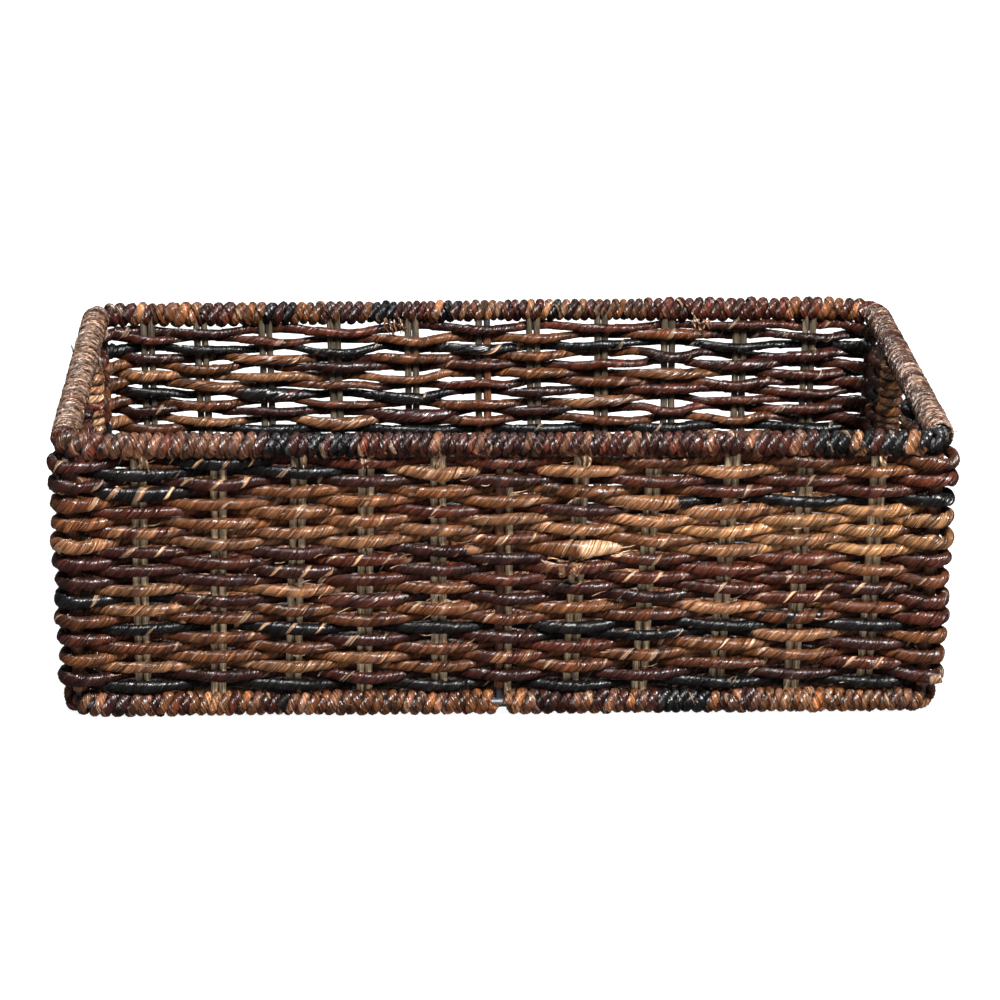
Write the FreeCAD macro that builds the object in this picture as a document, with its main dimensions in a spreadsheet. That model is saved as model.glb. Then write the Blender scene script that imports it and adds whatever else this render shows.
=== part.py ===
import FreeCAD, Part
import math
import os
import Sketcher

# An open rectangular woven basket, in millimetres, +Z up.
# The origin is on the floor, under the middle of the base.
# +X runs along the length, -Y is the front, +Z is up.

V = FreeCAD.Vector
doc = FreeCAD.newDocument("woven_basket")

# ---------------------------------------------------------------- driving dimensions
DIMENSIONS = [
    ("outer_length", 610.0),      # over the rims, left to right
    ("outer_depth", 356.0),       # over the rims, front to back
    ("outer_height", 203.0),      # floor to the top of the rim
    ("wall_lean", 3.0),           # each wall stands this much further out at its top
    ("wrap_radius", 9.0),         # outside radius of the wrapped rims
    ("foot_flat", 0.3),           # how far the bottom wraps are pressed flat
    ("rod_radius", 3.0),          # steel ring rods
    ("rod_out", 2.2),             # ring rod, outwards from the middle of its wrap
    ("ring_corner", 20.0),        # bend radius of the ring rods
    ("post_radius", 2.5),         # steel posts and base bar
    ("bark_radius", 3.2),         # outside of the bark on the posts
    ("cane_radius", 2.4),
    ("cane_in", 3.5),             # canes, inwards from the middle of the rim wraps
    ("cane_apart", 5.6),          # the two canes of a pair, centre to centre
    ("strand_radius", 3.4),
    ("course_count", 24.0),
    ("course_top", 181.6),        # middle of the highest course
    ("course_low", 21.4),         # middle of the lowest course
    ("open_courses", 7.0),        # courses that stop at the hand openings
    ("base_level", 10.5),         # middle of the base canes
    ("base_strands", 43.0),
    ("base_half", 149.6),         # middle of the base to its outermost strand
    ("binding_thick", 4.0),       # strand bound round the edges of the hand openings
    ("air", 0.15),                # gap left between pieces that lie against each other
]

sheet = doc.addObject("Spreadsheet::Sheet", "Dims")
for row, (name, value) in enumerate(DIMENSIONS, start=1):
    sheet.set("A%d" % row, name)
    sheet.set("B%d" % row, str(value))
    sheet.setAlias("B%d" % row, name)
doc.recompute()


def dim(name):
    return float(sheet.get(name))


AIR = dim("air")
TOP_LEVEL = dim("outer_height") - dim("wrap_radius")
FOOT_LEVEL = dim("wrap_radius") - dim("foot_flat")
TOP_HALF_X = dim("outer_length") / 2 - dim("wrap_radius")
TOP_HALF_Y = dim("outer_depth") / 2 - dim("wrap_radius")
WRAP_CORNER = dim("ring_corner") - dim("rod_out")

# Where the cane pairs stand, left to right: (at the rim, at the base). Hand-set, so uneven.
FRONT_PAIRS = [(-246, -246), (-192, -195), (-138, -144), (-93, -95), (-45, -44), (0, 0),
               (52, 46), (101, 93), (154, 146), (204, 198), (253, 249)]
BACK_PAIRS = [(-258, -255), (-218, -212), (-169, -164), (-117, -112), (-58, -56), (-4, -2),
              (34, 38), (86, 88), (137, 139), (192, 192), (245, 243)]
END_PAIRS = [-109, -53, -18, 18, 53, 109]   # front to back on both ends
MIDDLE = 5                        # the pair with a steel post in place of one cane
FRONT_POST_SIDE = -1              # the post is the left one of the pair at the front
BACK_POST_SIDE = 1                # and the right one at the back
HOLE_PAIRS = (1, 4)               # the end pairs beside the hand openings
SHORT_PAIRS = (2, 3)              # the end pairs that stop below them


# ---------------------------------------------------------------- places
def lean(level):
    """How far a wall stands in from its top, at this height."""
    return dim("wall_lean") * (TOP_LEVEL - level) / (TOP_LEVEL - FOOT_LEVEL)


def cane_x(level):
    return TOP_HALF_X - dim("cane_in") - lean(level)


def cane_y(level):
    return TOP_HALF_Y - dim("cane_in") - lean(level)


def post_corner(level):
    """Distance of a corner post from the middle planes: under the bend of the ring rods."""
    inset = dim("ring_corner") * (1 - math.cos(math.radians(45))) - dim("rod_out")
    return TOP_HALF_X - inset - lean(level), TOP_HALF_Y - inset - lean(level)


def along(pair, level):
    """Where a pair given at the rim and at the base stands, at this height."""
    share = (level - FOOT_LEVEL) / (TOP_LEVEL - FOOT_LEVEL)
    return pair[1] + (pair[0] - pair[1]) * share


def course_level(number):
    """Height of a course, counted from 1 at the top."""
    step = (dim("course_top") - dim("course_low")) / (dim("course_count") - 1)
    return dim("course_top") - step * (number - 1)


# ---------------------------------------------------------------- makers
def rod(name, start, end, radius):
    """A Part cylinder from start to end, its radius bound to a cell of the sheet."""
    body = doc.addObject("Part::Cylinder", name)
    run = end - start
    body.Height = run.Length
    body.setExpression("Radius", radius)
    body.Placement = FreeCAD.Placement(start, FreeCAD.Rotation(V(0, 0, 1), run))
    return body


def group(label, members):
    """One node of several separate solids."""
    node = doc.addObject("Part::Compound", label)
    node.Links = members
    node.Label = label
    return node


def cut(label, base, tools):
    """base less each tool in turn."""
    result = base
    for number, tool in enumerate(tools, start=1):
        step = doc.addObject("Part::Cut", "%s_cut_%d" % (label, number))
        step.Base = result
        step.Tool = tool
        result = step
    result.Label = label
    return result


def box(name, low, high):
    body = doc.addObject("Part::Box", name)
    size = high - low
    body.Length = size.x
    body.Width = size.y
    body.Height = size.z
    body.Placement = FreeCAD.Placement(low, FreeCAD.Rotation())
    return body


def origin_plane(body, role):
    return [item for item in body.Origin.OriginFeatures if item.Role == role][0]


def ring_rod(label, level, half_x, half_y):
    """A steel rod bent to a rounded rectangle: a sketched path with a circle swept along it.

    level, half_x and half_y are expressions for the height and half sizes of its centre line.
    """
    body = doc.addObject("PartDesign::Body", label)
    body.Label = label
    path = body.newObject("Sketcher::SketchObject", label + "_path")
    path.AttachmentSupport = [(origin_plane(body, "XY_Plane"), "")]
    path.MapMode = "FlatFace"
    path.setExpression("AttachmentOffset.Base.z", level)

    a, b, bend = TOP_HALF_X, TOP_HALF_Y, dim("ring_corner")
    corners = [(a, -b, -90), (a, b, 0), (-a, b, 90), (-a, -b, 180)]
    ends = []
    for x, y, first in corners:
        centre = V(x - math.copysign(bend, x), y - math.copysign(bend, y), 0)
        turn = Part.Circle(centre, V(0, 0, 1), bend)
        arc = Part.ArcOfCircle(turn, math.radians(first), math.radians(first + 90))
        ends.append((arc.StartPoint, arc.EndPoint))
        path.addGeometry(arc, False)
    for number in range(4):
        start = ends[number][1]
        stop = ends[(number + 1) % 4][0]
        path.addGeometry(Part.LineSegment(start, stop), False)
    for number in range(4):
        line = 4 + number
        path.addConstraint(Sketcher.Constraint("Tangent", number, 2, line, 1))
        path.addConstraint(Sketcher.Constraint("Tangent", line, 2, (number + 1) % 4, 1))
        direction = "Vertical" if number % 2 == 0 else "Horizontal"
        path.addConstraint(Sketcher.Constraint(direction, line))
        if number:
            path.addConstraint(Sketcher.Constraint("Equal", 0, number))
    bend_rule = path.addConstraint(Sketcher.Constraint("Radius", 0, bend))
    path.setExpression("Constraints[%d]" % bend_rule, "Dims.ring_corner")
    sides = [("DistanceX", 4, a, half_x), ("DistanceY", 5, b, half_y)]
    for kind, line, size, rule in sides:
        far = path.addConstraint(Sketcher.Constraint(kind, -1, 1, line, 1, size))
        path.setExpression("Constraints[%d]" % far, rule)
        near = path.addConstraint(Sketcher.Constraint(kind, line + 2, 1, -1, 1, size))
        path.setExpression("Constraints[%d]" % near, rule)
    doc.recompute()

    section = body.newObject("Sketcher::SketchObject", label + "_section")
    section.AttachmentSupport = [(origin_plane(body, "XZ_Plane"), "")]
    section.MapMode = "FlatFace"
    circle = Part.Circle(V(a, TOP_LEVEL, 0), V(0, 0, 1), dim("rod_radius"))
    section.addGeometry(circle, False)
    width = section.addConstraint(Sketcher.Constraint("Radius", 0, dim("rod_radius")))
    section.setExpression("Constraints[%d]" % width, "Dims.rod_radius")
    out = section.addConstraint(Sketcher.Constraint("DistanceX", -1, 1, 0, 3, a))
    section.setExpression("Constraints[%d]" % out, half_x)
    up = section.addConstraint(Sketcher.Constraint("DistanceY", -1, 1, 0, 3, TOP_LEVEL))
    section.setExpression("Constraints[%d]" % up, level)
    doc.recompute()

    pipe = body.newObject("PartDesign::AdditivePipe", label + "_pipe")
    pipe.Profile = section
    pipe.Spine = path
    return body


def half_arc(start, centre, end):
    """The shorter arc from start to end round a centre."""
    radius = (start - centre).Length
    middle = centre + ((start - centre) + (end - centre)).normalize() * radius
    return Part.Arc(start, middle, end).toShape()


def bent_path(points, crowns, half_first=False, half_last=False):
    """A wire of straight runs joined by tangent arcs.

    crowns gives, for each inner point, either how far its corner is rounded off ("crown", mm)
    or the bend's radius ("radius", mm). With half_first the wire starts in the middle of its
    first bend, and with half_last it stops in the middle of its last one.
    """
    edges = []
    here = points[0]
    final = len(crowns) - 1
    corners = zip(points, points[1:], points[2:], crowns)
    for index, (before, corner, after, (kind, size)) in enumerate(corners):
        back = (before - corner).normalize()
        ahead = (after - corner).normalize()
        half_turn = (math.pi - back.getAngle(ahead)) / 2
        radius = size
        if kind == "crown":
            radius = size / (1 / math.cos(half_turn) - 1)
        reach = radius * math.tan(half_turn)
        first = corner + back * reach
        last = corner + ahead * reach
        inward = (back + ahead).normalize()
        middle = corner + inward * (radius / math.cos(half_turn) - radius)
        centre = middle + inward * radius
        if half_first and index == 0:
            edges.append(half_arc(middle, centre, last))
        elif half_last and index == final:
            edges.append(Part.LineSegment(here, first).toShape())
            edges.append(half_arc(first, centre, middle))
            return Part.Wire(edges)
        else:
            edges.append(Part.LineSegment(here, first).toShape())
            edges.append(Part.Arc(first, middle, last).toShape())
        here = last
    edges.append(Part.LineSegment(here, points[-1]).toShape())
    return Part.Wire(edges)


def strand_solid(points, crowns, half_first=False, half_last=False):
    """A round strand laid along the points."""
    wire = bent_path(points, crowns, half_first, half_last)
    start = wire.Edges[0]
    circle = Part.Circle(start.Curve.value(start.FirstParameter), start.tangentAt(start.FirstParameter),
                         dim("strand_radius"))
    section = Part.Wire([circle.toShape()])
    solid = Part.Solid(wire.makePipeShell([section], True, False))
    expected = math.pi * dim("strand_radius") ** 2 * wire.Length
    if abs(solid.Volume / expected - 1) > 0.01:
        raise ValueError("a strand came out with the wrong volume")
    return solid


def strands(label, solids):
    """A node of woven strands, whose paths are worked out from the sheet."""
    node = doc.addObject("Part::Feature", label)
    node.Label = label
    node.Shape = Part.makeCompound(solids)
    node.Placement = FreeCAD.Placement()
    return node


# ---------------------------------------------------------------- steel frame
OUT_X = "Dims.outer_length / 2 - Dims.wrap_radius + Dims.rod_out"
OUT_Y = "Dims.outer_depth / 2 - Dims.wrap_radius + Dims.rod_out"
HIGH = "Dims.outer_height - Dims.wrap_radius"
LOW = "Dims.wrap_radius - Dims.foot_flat"

nodes = [
    ring_rod("top_ring_rod", HIGH, OUT_X, OUT_Y),
    ring_rod("bottom_ring_rod", LOW, OUT_X + " - Dims.wall_lean", OUT_Y + " - Dims.wall_lean"),
]

CORNERS = {
    "front_left": (-1, -1),
    "front_right": (1, -1),
    "back_left": (-1, 1),
    "back_right": (1, 1),
}
POST_GAP = dim("rod_radius") + AIR        # posts are welded under and over the ring rods
BARK_LOW = 2 * dim("wrap_radius") + AIR   # the bark shows between the two rims
BARK_HIGH = TOP_LEVEL - dim("wrap_radius") - AIR


def corner_point(side_x, side_y, level):
    x, y = post_corner(level)
    return V(side_x * x, side_y * y, level)


def bark_sleeve(name, place):
    """Thin bark round a post, between the rims. place gives the post's middle at a height."""
    outside = rod(name, place(BARK_LOW), place(BARK_HIGH), "Dims.bark_radius")
    hollow = rod(name + "_bore", place(BARK_LOW - 1), place(BARK_HIGH + 1), "Dims.post_radius")
    return cut(name + "_sleeve", outside, [hollow])


corner_bark = []
for corner_name, (side_x, side_y) in CORNERS.items():
    low_end = corner_point(side_x, side_y, FOOT_LEVEL + POST_GAP)
    high_end = corner_point(side_x, side_y, TOP_LEVEL - POST_GAP)
    post = rod("corner_post_" + corner_name, low_end, high_end, "Dims.post_radius")
    post.Label = "corner_post_" + corner_name
    nodes.append(post)

    def post_place(level, side_x=side_x, side_y=side_y):
        return corner_point(side_x, side_y, level)

    corner_bark.append(bark_sleeve("bark_" + corner_name, post_place))
nodes.append(group("corner_post_bark", corner_bark))

# A middle post and a cane stand in for a pair at the middle of each long wall.
MIDDLE_APART = dim("bark_radius") + dim("cane_radius") + 4 * AIR
CANE_LOW = 4.0                            # wall canes end inside the bottom wraps
CANE_HIGH = TOP_LEVEL + 5.0               # long canes end inside the top wraps
CANE_CUT = TOP_LEVEL - dim("wrap_radius") - 0.6   # the others are cut off under them


def wall_point(pairs, index, side_y, offset, level):
    """The middle of a cane or post of a long wall, offset along the wall from its pair."""
    return V(along(pairs[index], level) + offset, side_y * cane_y(level), level)


mid_bark = []
for wall, pairs, side_y, post_side in (
    ("front", FRONT_PAIRS, -1, FRONT_POST_SIDE),
    ("back", BACK_PAIRS, 1, BACK_POST_SIDE),
):
    offset = post_side * MIDDLE_APART / 2

    def post_place(level, pairs=pairs, side_y=side_y, offset=offset):
        return wall_point(pairs, MIDDLE, side_y, offset, level)

    post = rod(wall + "_mid_post", post_place(CANE_LOW), post_place(CANE_HIGH), "Dims.post_radius")
    post.Label = wall + "_mid_post"
    nodes.append(post)
    mid_bark.append(bark_sleeve("bark_mid_" + wall, post_place))
nodes.append(group("mid_post_bark", mid_bark))

BASE_END = cane_y(dim("base_level")) - dim("post_radius") - AIR


def base_point(index, side_y, offset_front, offset_back):
    """The end of a base cane: its pair's place on the front or the back wall, at base level."""
    pairs, offset = (FRONT_PAIRS, offset_front) if side_y < 0 else (BACK_PAIRS, offset_back)
    x = along(pairs[index], dim("base_level")) + offset
    return V(x, side_y * BASE_END, dim("base_level"))


bar_offsets = (FRONT_POST_SIDE * MIDDLE_APART / 2, BACK_POST_SIDE * MIDDLE_APART / 2)
bar_front = base_point(MIDDLE, -1, *bar_offsets)
bar_back = base_point(MIDDLE, 1, *bar_offsets)
base_bar = rod("base_cross_bar", bar_front, bar_back, "Dims.post_radius")
base_bar.Label = "base_cross_bar"
nodes.append(base_bar)

# ---------------------------------------------------------------- canes
HALF_PAIR = dim("cane_apart") / 2


def pair_offsets(index, post_side):
    """The canes of a pair, from its middle. The middle pair has one, beside its post."""
    if index == MIDDLE:
        return [-post_side * MIDDLE_APART / 2]
    return [-HALF_PAIR, HALF_PAIR]


for wall, pairs, side_y, post_side in (
    ("front", FRONT_PAIRS, -1, FRONT_POST_SIDE),
    ("back", BACK_PAIRS, 1, BACK_POST_SIDE),
):
    canes = []
    for index in range(len(pairs)):
        for number, offset in enumerate(pair_offsets(index, post_side)):
            # one cane of each pair runs up into the rim, now the left one, now the right
            high = CANE_HIGH if (index + number) % 2 or index == MIDDLE else CANE_CUT
            start = wall_point(pairs, index, side_y, offset, CANE_LOW)
            end = wall_point(pairs, index, side_y, offset, high)
            canes.append(rod("%s_cane_%d_%d" % (wall, index + 1, number + 1), start, end, "Dims.cane_radius"))
    nodes.append(group(wall + "_wall_canes", canes))

SILL_LEVEL = course_level(dim("open_courses") + 1)
for end_name, side_x in (("left", -1), ("right", 1)):
    canes = []
    for index, y in enumerate(END_PAIRS):
        for number, offset in enumerate((-HALF_PAIR, HALF_PAIR)):
            high = CANE_HIGH
            if index in SHORT_PAIRS:
                high = SILL_LEVEL + dim("strand_radius")
            start = V(side_x * cane_x(CANE_LOW), y + offset, CANE_LOW)
            end = V(side_x * cane_x(high), y + offset, high)
            name = "%s_cane_%d_%d" % (end_name, index + 1, number + 1)
            canes.append(rod(name, start, end, "Dims.cane_radius"))
    nodes.append(group(end_name + "_end_canes", canes))


def base_offsets(index):
    """The base canes of a pair, from the pair's middle: (at the front wall, at the back wall)."""
    if index == MIDDLE:
        return [(bar_offsets[0] + MIDDLE_APART, bar_offsets[1] + MIDDLE_APART)]
    return [(-HALF_PAIR, -HALF_PAIR), (HALF_PAIR, HALF_PAIR)]


def base_middle(index, y):
    """Where the middle of a base pair lies at this depth."""
    shift_front, shift_back = 0, 0
    if index == MIDDLE:
        shift_front = bar_offsets[0] + MIDDLE_APART / 2
        shift_back = bar_offsets[1] + MIDDLE_APART / 2
    front = base_point(index, -1, shift_front, 0).x
    back = base_point(index, 1, 0, shift_back).x
    return front + (back - front) * (y + BASE_END) / (2 * BASE_END)


canes = []
for index in range(len(FRONT_PAIRS)):
    for number, (at_front, at_back) in enumerate(base_offsets(index)):
        start = base_point(index, -1, at_front, at_back)
        end = base_point(index, 1, at_front, at_back)
        canes.append(rod("base_cane_%d_%d" % (index + 1, number + 1), start, end, "Dims.cane_radius"))
nodes.append(group("base_canes", canes))

# ---------------------------------------------------------------- rim wraps
REACH = 2 * dim("wrap_radius")            # well past a wrap, for the shapes cut out of it
SLOT_SHARE = 0.8                          # how far in a bottom wrap's slot goes, of its radius


def straight_wrap(label, middle, half_length, along_x, inward, at_top):
    """The wrapping of a straight rim: a round sleeve with a bore for the ring rod and a slot
    for the canes. The slot of a top wrap opens downwards, and that of a bottom wrap upwards
    and inwards, where the base canes come in. Bottom wraps are pressed flat underneath.
    """
    run = V(1, 0, 0) if along_x else V(0, 1, 0)
    wrap = rod(label + "_round", middle - run * half_length, middle + run * half_length, "Dims.wrap_radius")
    rod_middle = middle - inward * dim("rod_out")
    start = rod_middle - run * (half_length + 1)
    bore = rod(label + "_bore", start, rod_middle + run * (half_length + 1), "Dims.rod_radius")
    slot_out = dim("cane_in") - dim("post_radius") - 2 * AIR
    slot_in = dim("cane_in") + dim("post_radius") + 2 * AIR
    floor, roof = -REACH, dim("cane_radius") + dim("rod_radius")
    if not at_top:
        floor, roof = CANE_LOW - FOOT_LEVEL - AIR, REACH
        slot_in = dim("wrap_radius") * SLOT_SHARE
    corner_a = middle + inward * slot_out - run * (half_length + 1) + V(0, 0, floor)
    corner_b = middle + inward * slot_in + run * (half_length + 1) + V(0, 0, roof)
    low = V(min(corner_a.x, corner_b.x), min(corner_a.y, corner_b.y), corner_a.z)
    high = V(max(corner_a.x, corner_b.x), max(corner_a.y, corner_b.y), corner_b.z)
    tools = [bore, box(label + "_slot", low, high)]
    if not at_top:
        base_low = dim("base_level") - dim("post_radius") - AIR
        near = middle + inward * slot_out - run * (half_length + 1)
        far = middle + inward * REACH + run * (half_length + 1)
        shelf_low = V(min(near.x, far.x), min(near.y, far.y), base_low)
        shelf_high = V(max(near.x, far.x), max(near.y, far.y), FOOT_LEVEL + REACH)
        tools.append(box(label + "_shelf", shelf_low, shelf_high))
        tools.append(floor_block(label))
    return cut(label, wrap, tools)


def floor_block(name):
    """What lies below the floor, to press a bottom wrap flat."""
    span = dim("outer_length")
    return box(name + "_floor", V(-span, -span, -REACH), V(span, span, 0))


def corner_wraps(label, level, lean_in, at_top):
    """The four wrapped corners of a rim, each a quarter turn round the ring rod's bend."""
    pieces = []
    for corner_name, (side_x, side_y) in CORNERS.items():
        middle_x = side_x * (TOP_HALF_X - lean_in - WRAP_CORNER)
        middle_y = side_y * (TOP_HALF_Y - lean_in - WRAP_CORNER)
        middle = V(middle_x, middle_y, level)
        turn = {(1, 1): 0, (-1, 1): 90, (-1, -1): 180, (1, -1): 270}[(side_x, side_y)]
        place = FreeCAD.Placement(middle, FreeCAD.Rotation(V(0, 0, 1), turn))
        name = "%s_%s" % (label, corner_name)
        wrap = doc.addObject("Part::Torus", name + "_turn")
        wrap.setExpression("Radius1", "Dims.ring_corner - Dims.rod_out")
        wrap.setExpression("Radius2", "Dims.wrap_radius")
        wrap.Angle3 = 90
        wrap.Placement = place
        bore = doc.addObject("Part::Torus", name + "_bore")
        bore.setExpression("Radius1", "Dims.ring_corner")
        bore.setExpression("Radius2", "Dims.rod_radius")
        bore.Placement = place
        side = 1 if at_top else -1
        start = corner_point(side_x, side_y, level)
        end = corner_point(side_x, side_y, level - side * REACH)
        tools = [bore, rod(name + "_post", start, end, "Dims.post_radius + Dims.air")]
        if not at_top:
            tools.append(floor_block(name))
        pieces.append(cut(name + "_wrap", wrap, tools))
    return group(label, pieces)


def rim(level, lean_in, at_top, names):
    half_x = TOP_HALF_X - lean_in
    half_y = TOP_HALF_Y - lean_in
    front, back, left, right = names
    long_half = half_x - WRAP_CORNER
    short_half = half_y - WRAP_CORNER
    return [
        straight_wrap(front, V(0, -half_y, level), long_half, True, V(0, 1, 0), at_top),
        straight_wrap(back, V(0, half_y, level), long_half, True, V(0, -1, 0), at_top),
        straight_wrap(left, V(-half_x, 0, level), short_half, False, V(1, 0, 0), at_top),
        straight_wrap(right, V(half_x, 0, level), short_half, False, V(-1, 0, 0), at_top),
    ]


TOP_WRAPS = ("front_rim_wrap", "back_rim_wrap", "left_handle_wrap", "right_handle_wrap")
BASE_WRAPS = ("front_base_wrap", "back_base_wrap", "left_base_wrap", "right_base_wrap")
nodes += rim(TOP_LEVEL, 0, True, TOP_WRAPS)
nodes += rim(FOOT_LEVEL, dim("wall_lean"), False, BASE_WRAPS)
nodes.append(corner_wraps("top_corner_wraps", TOP_LEVEL, 0, True))
nodes.append(corner_wraps("base_corner_wraps", FOOT_LEVEL, dim("wall_lean"), False))


# ---------------------------------------------------------------- hand opening bindings
BINDING_HALF_THICK = dim("cane_radius") + dim("binding_thick")
BINDING_HALF_WIDE = HALF_PAIR + BINDING_HALF_THICK
BINDING_LOW = SILL_LEVEL + dim("strand_radius") + AIR
BINDING_HIGH = CANE_CUT


def binding(name, side_x, y):
    """Strand bound round a cane pair at the edge of a hand opening: a padded slot-shaped
    section with the two canes' holes, raised along the leaning pair."""
    body = doc.addObject("PartDesign::Body", name)
    section = body.newObject("Sketcher::SketchObject", name + "_section")
    section.AttachmentSupport = [(origin_plane(body, "XY_Plane"), "")]
    section.MapMode = "FlatFace"
    up, down = V(0, HALF_PAIR, 0), V(0, -HALF_PAIR, 0)
    size = BINDING_HALF_THICK
    section.addGeometry(Part.ArcOfCircle(Part.Circle(up, V(0, 0, 1), size), 0, math.pi), False)
    section.addGeometry(Part.ArcOfCircle(Part.Circle(down, V(0, 0, 1), size), math.pi, 2 * math.pi), False)
    section.addGeometry(Part.LineSegment(V(-size, HALF_PAIR, 0), V(-size, -HALF_PAIR, 0)), False)
    section.addGeometry(Part.LineSegment(V(size, -HALF_PAIR, 0), V(size, HALF_PAIR, 0)), False)
    for first, first_end, second, second_end in ((0, 2, 2, 1), (2, 2, 1, 1), (1, 2, 3, 1), (3, 2, 0, 1)):
        section.addConstraint(Sketcher.Constraint("Tangent", first, first_end, second, second_end))
    section.addConstraint(Sketcher.Constraint("PointOnObject", 0, 3, -2))
    section.addConstraint(Sketcher.Constraint("Symmetric", 0, 3, 1, 3, -1, 1))
    width = section.addConstraint(Sketcher.Constraint("Radius", 0, size))
    section.setExpression("Constraints[%d]" % width, "Dims.cane_radius + Dims.binding_thick")
    apart = section.addConstraint(Sketcher.Constraint("DistanceY", -1, 1, 0, 3, HALF_PAIR))
    section.setExpression("Constraints[%d]" % apart, "Dims.cane_apart / 2")
    for number, middle in enumerate((up, down)):
        hole = section.addGeometry(Part.Circle(middle, V(0, 0, 1), dim("cane_radius")), False)
        section.addConstraint(Sketcher.Constraint("Coincident", hole, 3, number, 3))
        bore = section.addConstraint(Sketcher.Constraint("Radius", hole, dim("cane_radius")))
        section.setExpression("Constraints[%d]" % bore, "Dims.cane_radius")
    pad = body.newObject("PartDesign::Pad", name + "_pad")
    pad.Profile = section
    start = V(side_x * cane_x(BINDING_LOW), y, BINDING_LOW)
    end = V(side_x * cane_x(BINDING_HIGH), y, BINDING_HIGH)
    pad.Length = (end - start).Length
    body.Placement = FreeCAD.Placement(start, FreeCAD.Rotation(V(0, 0, 1), end - start))
    return body


for end_name, side_x in (("left", -1), ("right", 1)):
    pieces = []
    for index in HOLE_PAIRS:
        pieces.append(binding("%s_binding_%d" % (end_name, index), side_x, END_PAIRS[index]))
    nodes.append(group(end_name + "_opening_binding", pieces))


# ---------------------------------------------------------------- woven courses
FULLEST_CROWN = 1.0                       # how far a strand's bend over a pair is rounded off
PAIR = (dim("cane_radius") + dim("strand_radius") + 2 * AIR, HALF_PAIR)
POST_PAIR = (dim("bark_radius") + dim("strand_radius") + 2 * AIR, MIDDLE_APART / 2)
BAR_PAIR = (dim("post_radius") + dim("strand_radius") + 2 * AIR, MIDDLE_APART / 2)
CORNER_BEND = dim("bark_radius") + dim("strand_radius") + AIR
INNER_CORNER = 4.5                        # an inner pass turns this far inside the post
INNER_BEND = 8.0


def pass_over(kind, spacing):
    """How a strand passes a pair: (corner of its path from the pair's middle, crown).

    kind gives the clear distance that the strand's middle keeps from the canes' middles, and
    how far those stand from the pair's middle. Where pairs stand close, the strand slopes more
    and has to start higher to clear them.
    """
    clear, half = kind
    slope = math.atan(2 * (clear + FULLEST_CROWN) / spacing)
    offset = clear / math.cos(slope) + half * math.tan(slope)
    return offset, min(FULLEST_CROWN, offset - clear)


def tangent_line(point, centre, radius, turn):
    """Direction from a point along the line that just touches a circle. turn is 1 to pass it
    with the circle on the left, -1 with the circle on the right."""
    to_centre = centre - point
    angle = math.atan2(to_centre.y, to_centre.x) - turn * math.asin(radius / to_centre.Length)
    return V(math.cos(angle), math.sin(angle), 0)


def crossing(point_a, ray_a, point_b, ray_b):
    """Where two lines in a level plane cross."""
    denominator = ray_a.x * ray_b.y - ray_a.y * ray_b.x
    gap = point_b - point_a
    return point_a + ray_a * ((gap.x * ray_b.y - gap.y * ray_b.x) / denominator)


def wall_stops(level):
    """Every pair and post round the basket at this height, anticlockwise from the front left
    corner: (kind of pair or None for a corner post, middle, outward direction)."""
    stops = []
    last = len(FRONT_PAIRS)

    def add_long(pairs, order, side_y):
        for index in order:
            kind = POST_PAIR if index == MIDDLE else PAIR
            middle = wall_point(pairs, index, side_y, 0, level)
            stops.append((kind, middle, V(0, side_y, 0)))

    def add_end(order, side_x):
        for index in order:
            middle = V(side_x * cane_x(level), END_PAIRS[index], level)
            stops.append((PAIR, middle, V(side_x, 0, 0)))

    def add_corner(side_x, side_y):
        stops.append((None, corner_point(side_x, side_y, level), V(side_x, side_y, 0)))

    add_corner(-1, -1)
    add_long(FRONT_PAIRS, range(last), -1)
    add_corner(1, -1)
    add_end(range(len(END_PAIRS)), 1)
    add_corner(1, 1)
    add_long(BACK_PAIRS, reversed(range(last)), 1)
    add_corner(-1, 1)
    add_end(reversed(range(len(END_PAIRS))), -1)
    return stops


def woven_loop(level, parity):
    """Corners of a course's path and how each is rounded. Odd courses (parity 1) pass outside
    the corner at the front left, then inside the next stop, and so on. Even ones do the
    opposite."""
    stops = wall_stops(level)
    count = len(stops)
    outside = [(index + parity) % 2 == 1 for index in range(count)]
    points = [None] * count
    crowns = [None] * count
    for index, (kind, middle, outward) in enumerate(stops):
        if kind:
            nearby = (stops[index - 1][1], stops[(index + 1) % count][1])
            spacing = min(middle.distanceToPoint(other) for other in nearby)
            offset, crown = pass_over(kind, spacing)
            side = 1 if outside[index] else -1
            points[index] = middle + outward * (side * offset)
            crowns[index] = ("crown", crown)
    for index, (kind, middle, outward) in enumerate(stops):
        if kind is None and outside[index]:
            before = points[index - 1]
            after = points[(index + 1) % count]
            ray_in = tangent_line(before, middle, CORNER_BEND, 1)
            ray_out = tangent_line(after, middle, CORNER_BEND, -1)
            points[index] = crossing(before, ray_in, after, ray_out)
            crowns[index] = ("radius", CORNER_BEND)
        elif kind is None:
            points[index] = middle - outward * INNER_CORNER
            crowns[index] = ("radius", INNER_BEND)
    return points, crowns


LONG_STOPS = len(FRONT_PAIRS)
END_STOPS = len(END_PAIRS)
CORNER_STOPS = [0, LONG_STOPS + 1, LONG_STOPS + END_STOPS + 2, 2 * LONG_STOPS + END_STOPS + 3]
TOTAL_STOPS = 2 * (LONG_STOPS + END_STOPS) + 4


def span(points, crowns, first, last, first_end=None, last_end=None):
    """One length of a course, over the stops from first to last. Unless an end is given, that
    stop is a corner, and the length starts or stops in the middle of the strand's bend there,
    where it meets the next one."""
    picked = [index % TOTAL_STOPS for index in range(first, last + 1)]
    start = first_end or points[(first - 1) % TOTAL_STOPS]
    end = last_end or points[(last + 1) % TOTAL_STOPS]
    line = [start] + [points[index] for index in picked] + [end]
    crowns_here = [crowns[index] for index in picked]
    return strand_solid(line, crowns_here, first_end is None, last_end is None)


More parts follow.
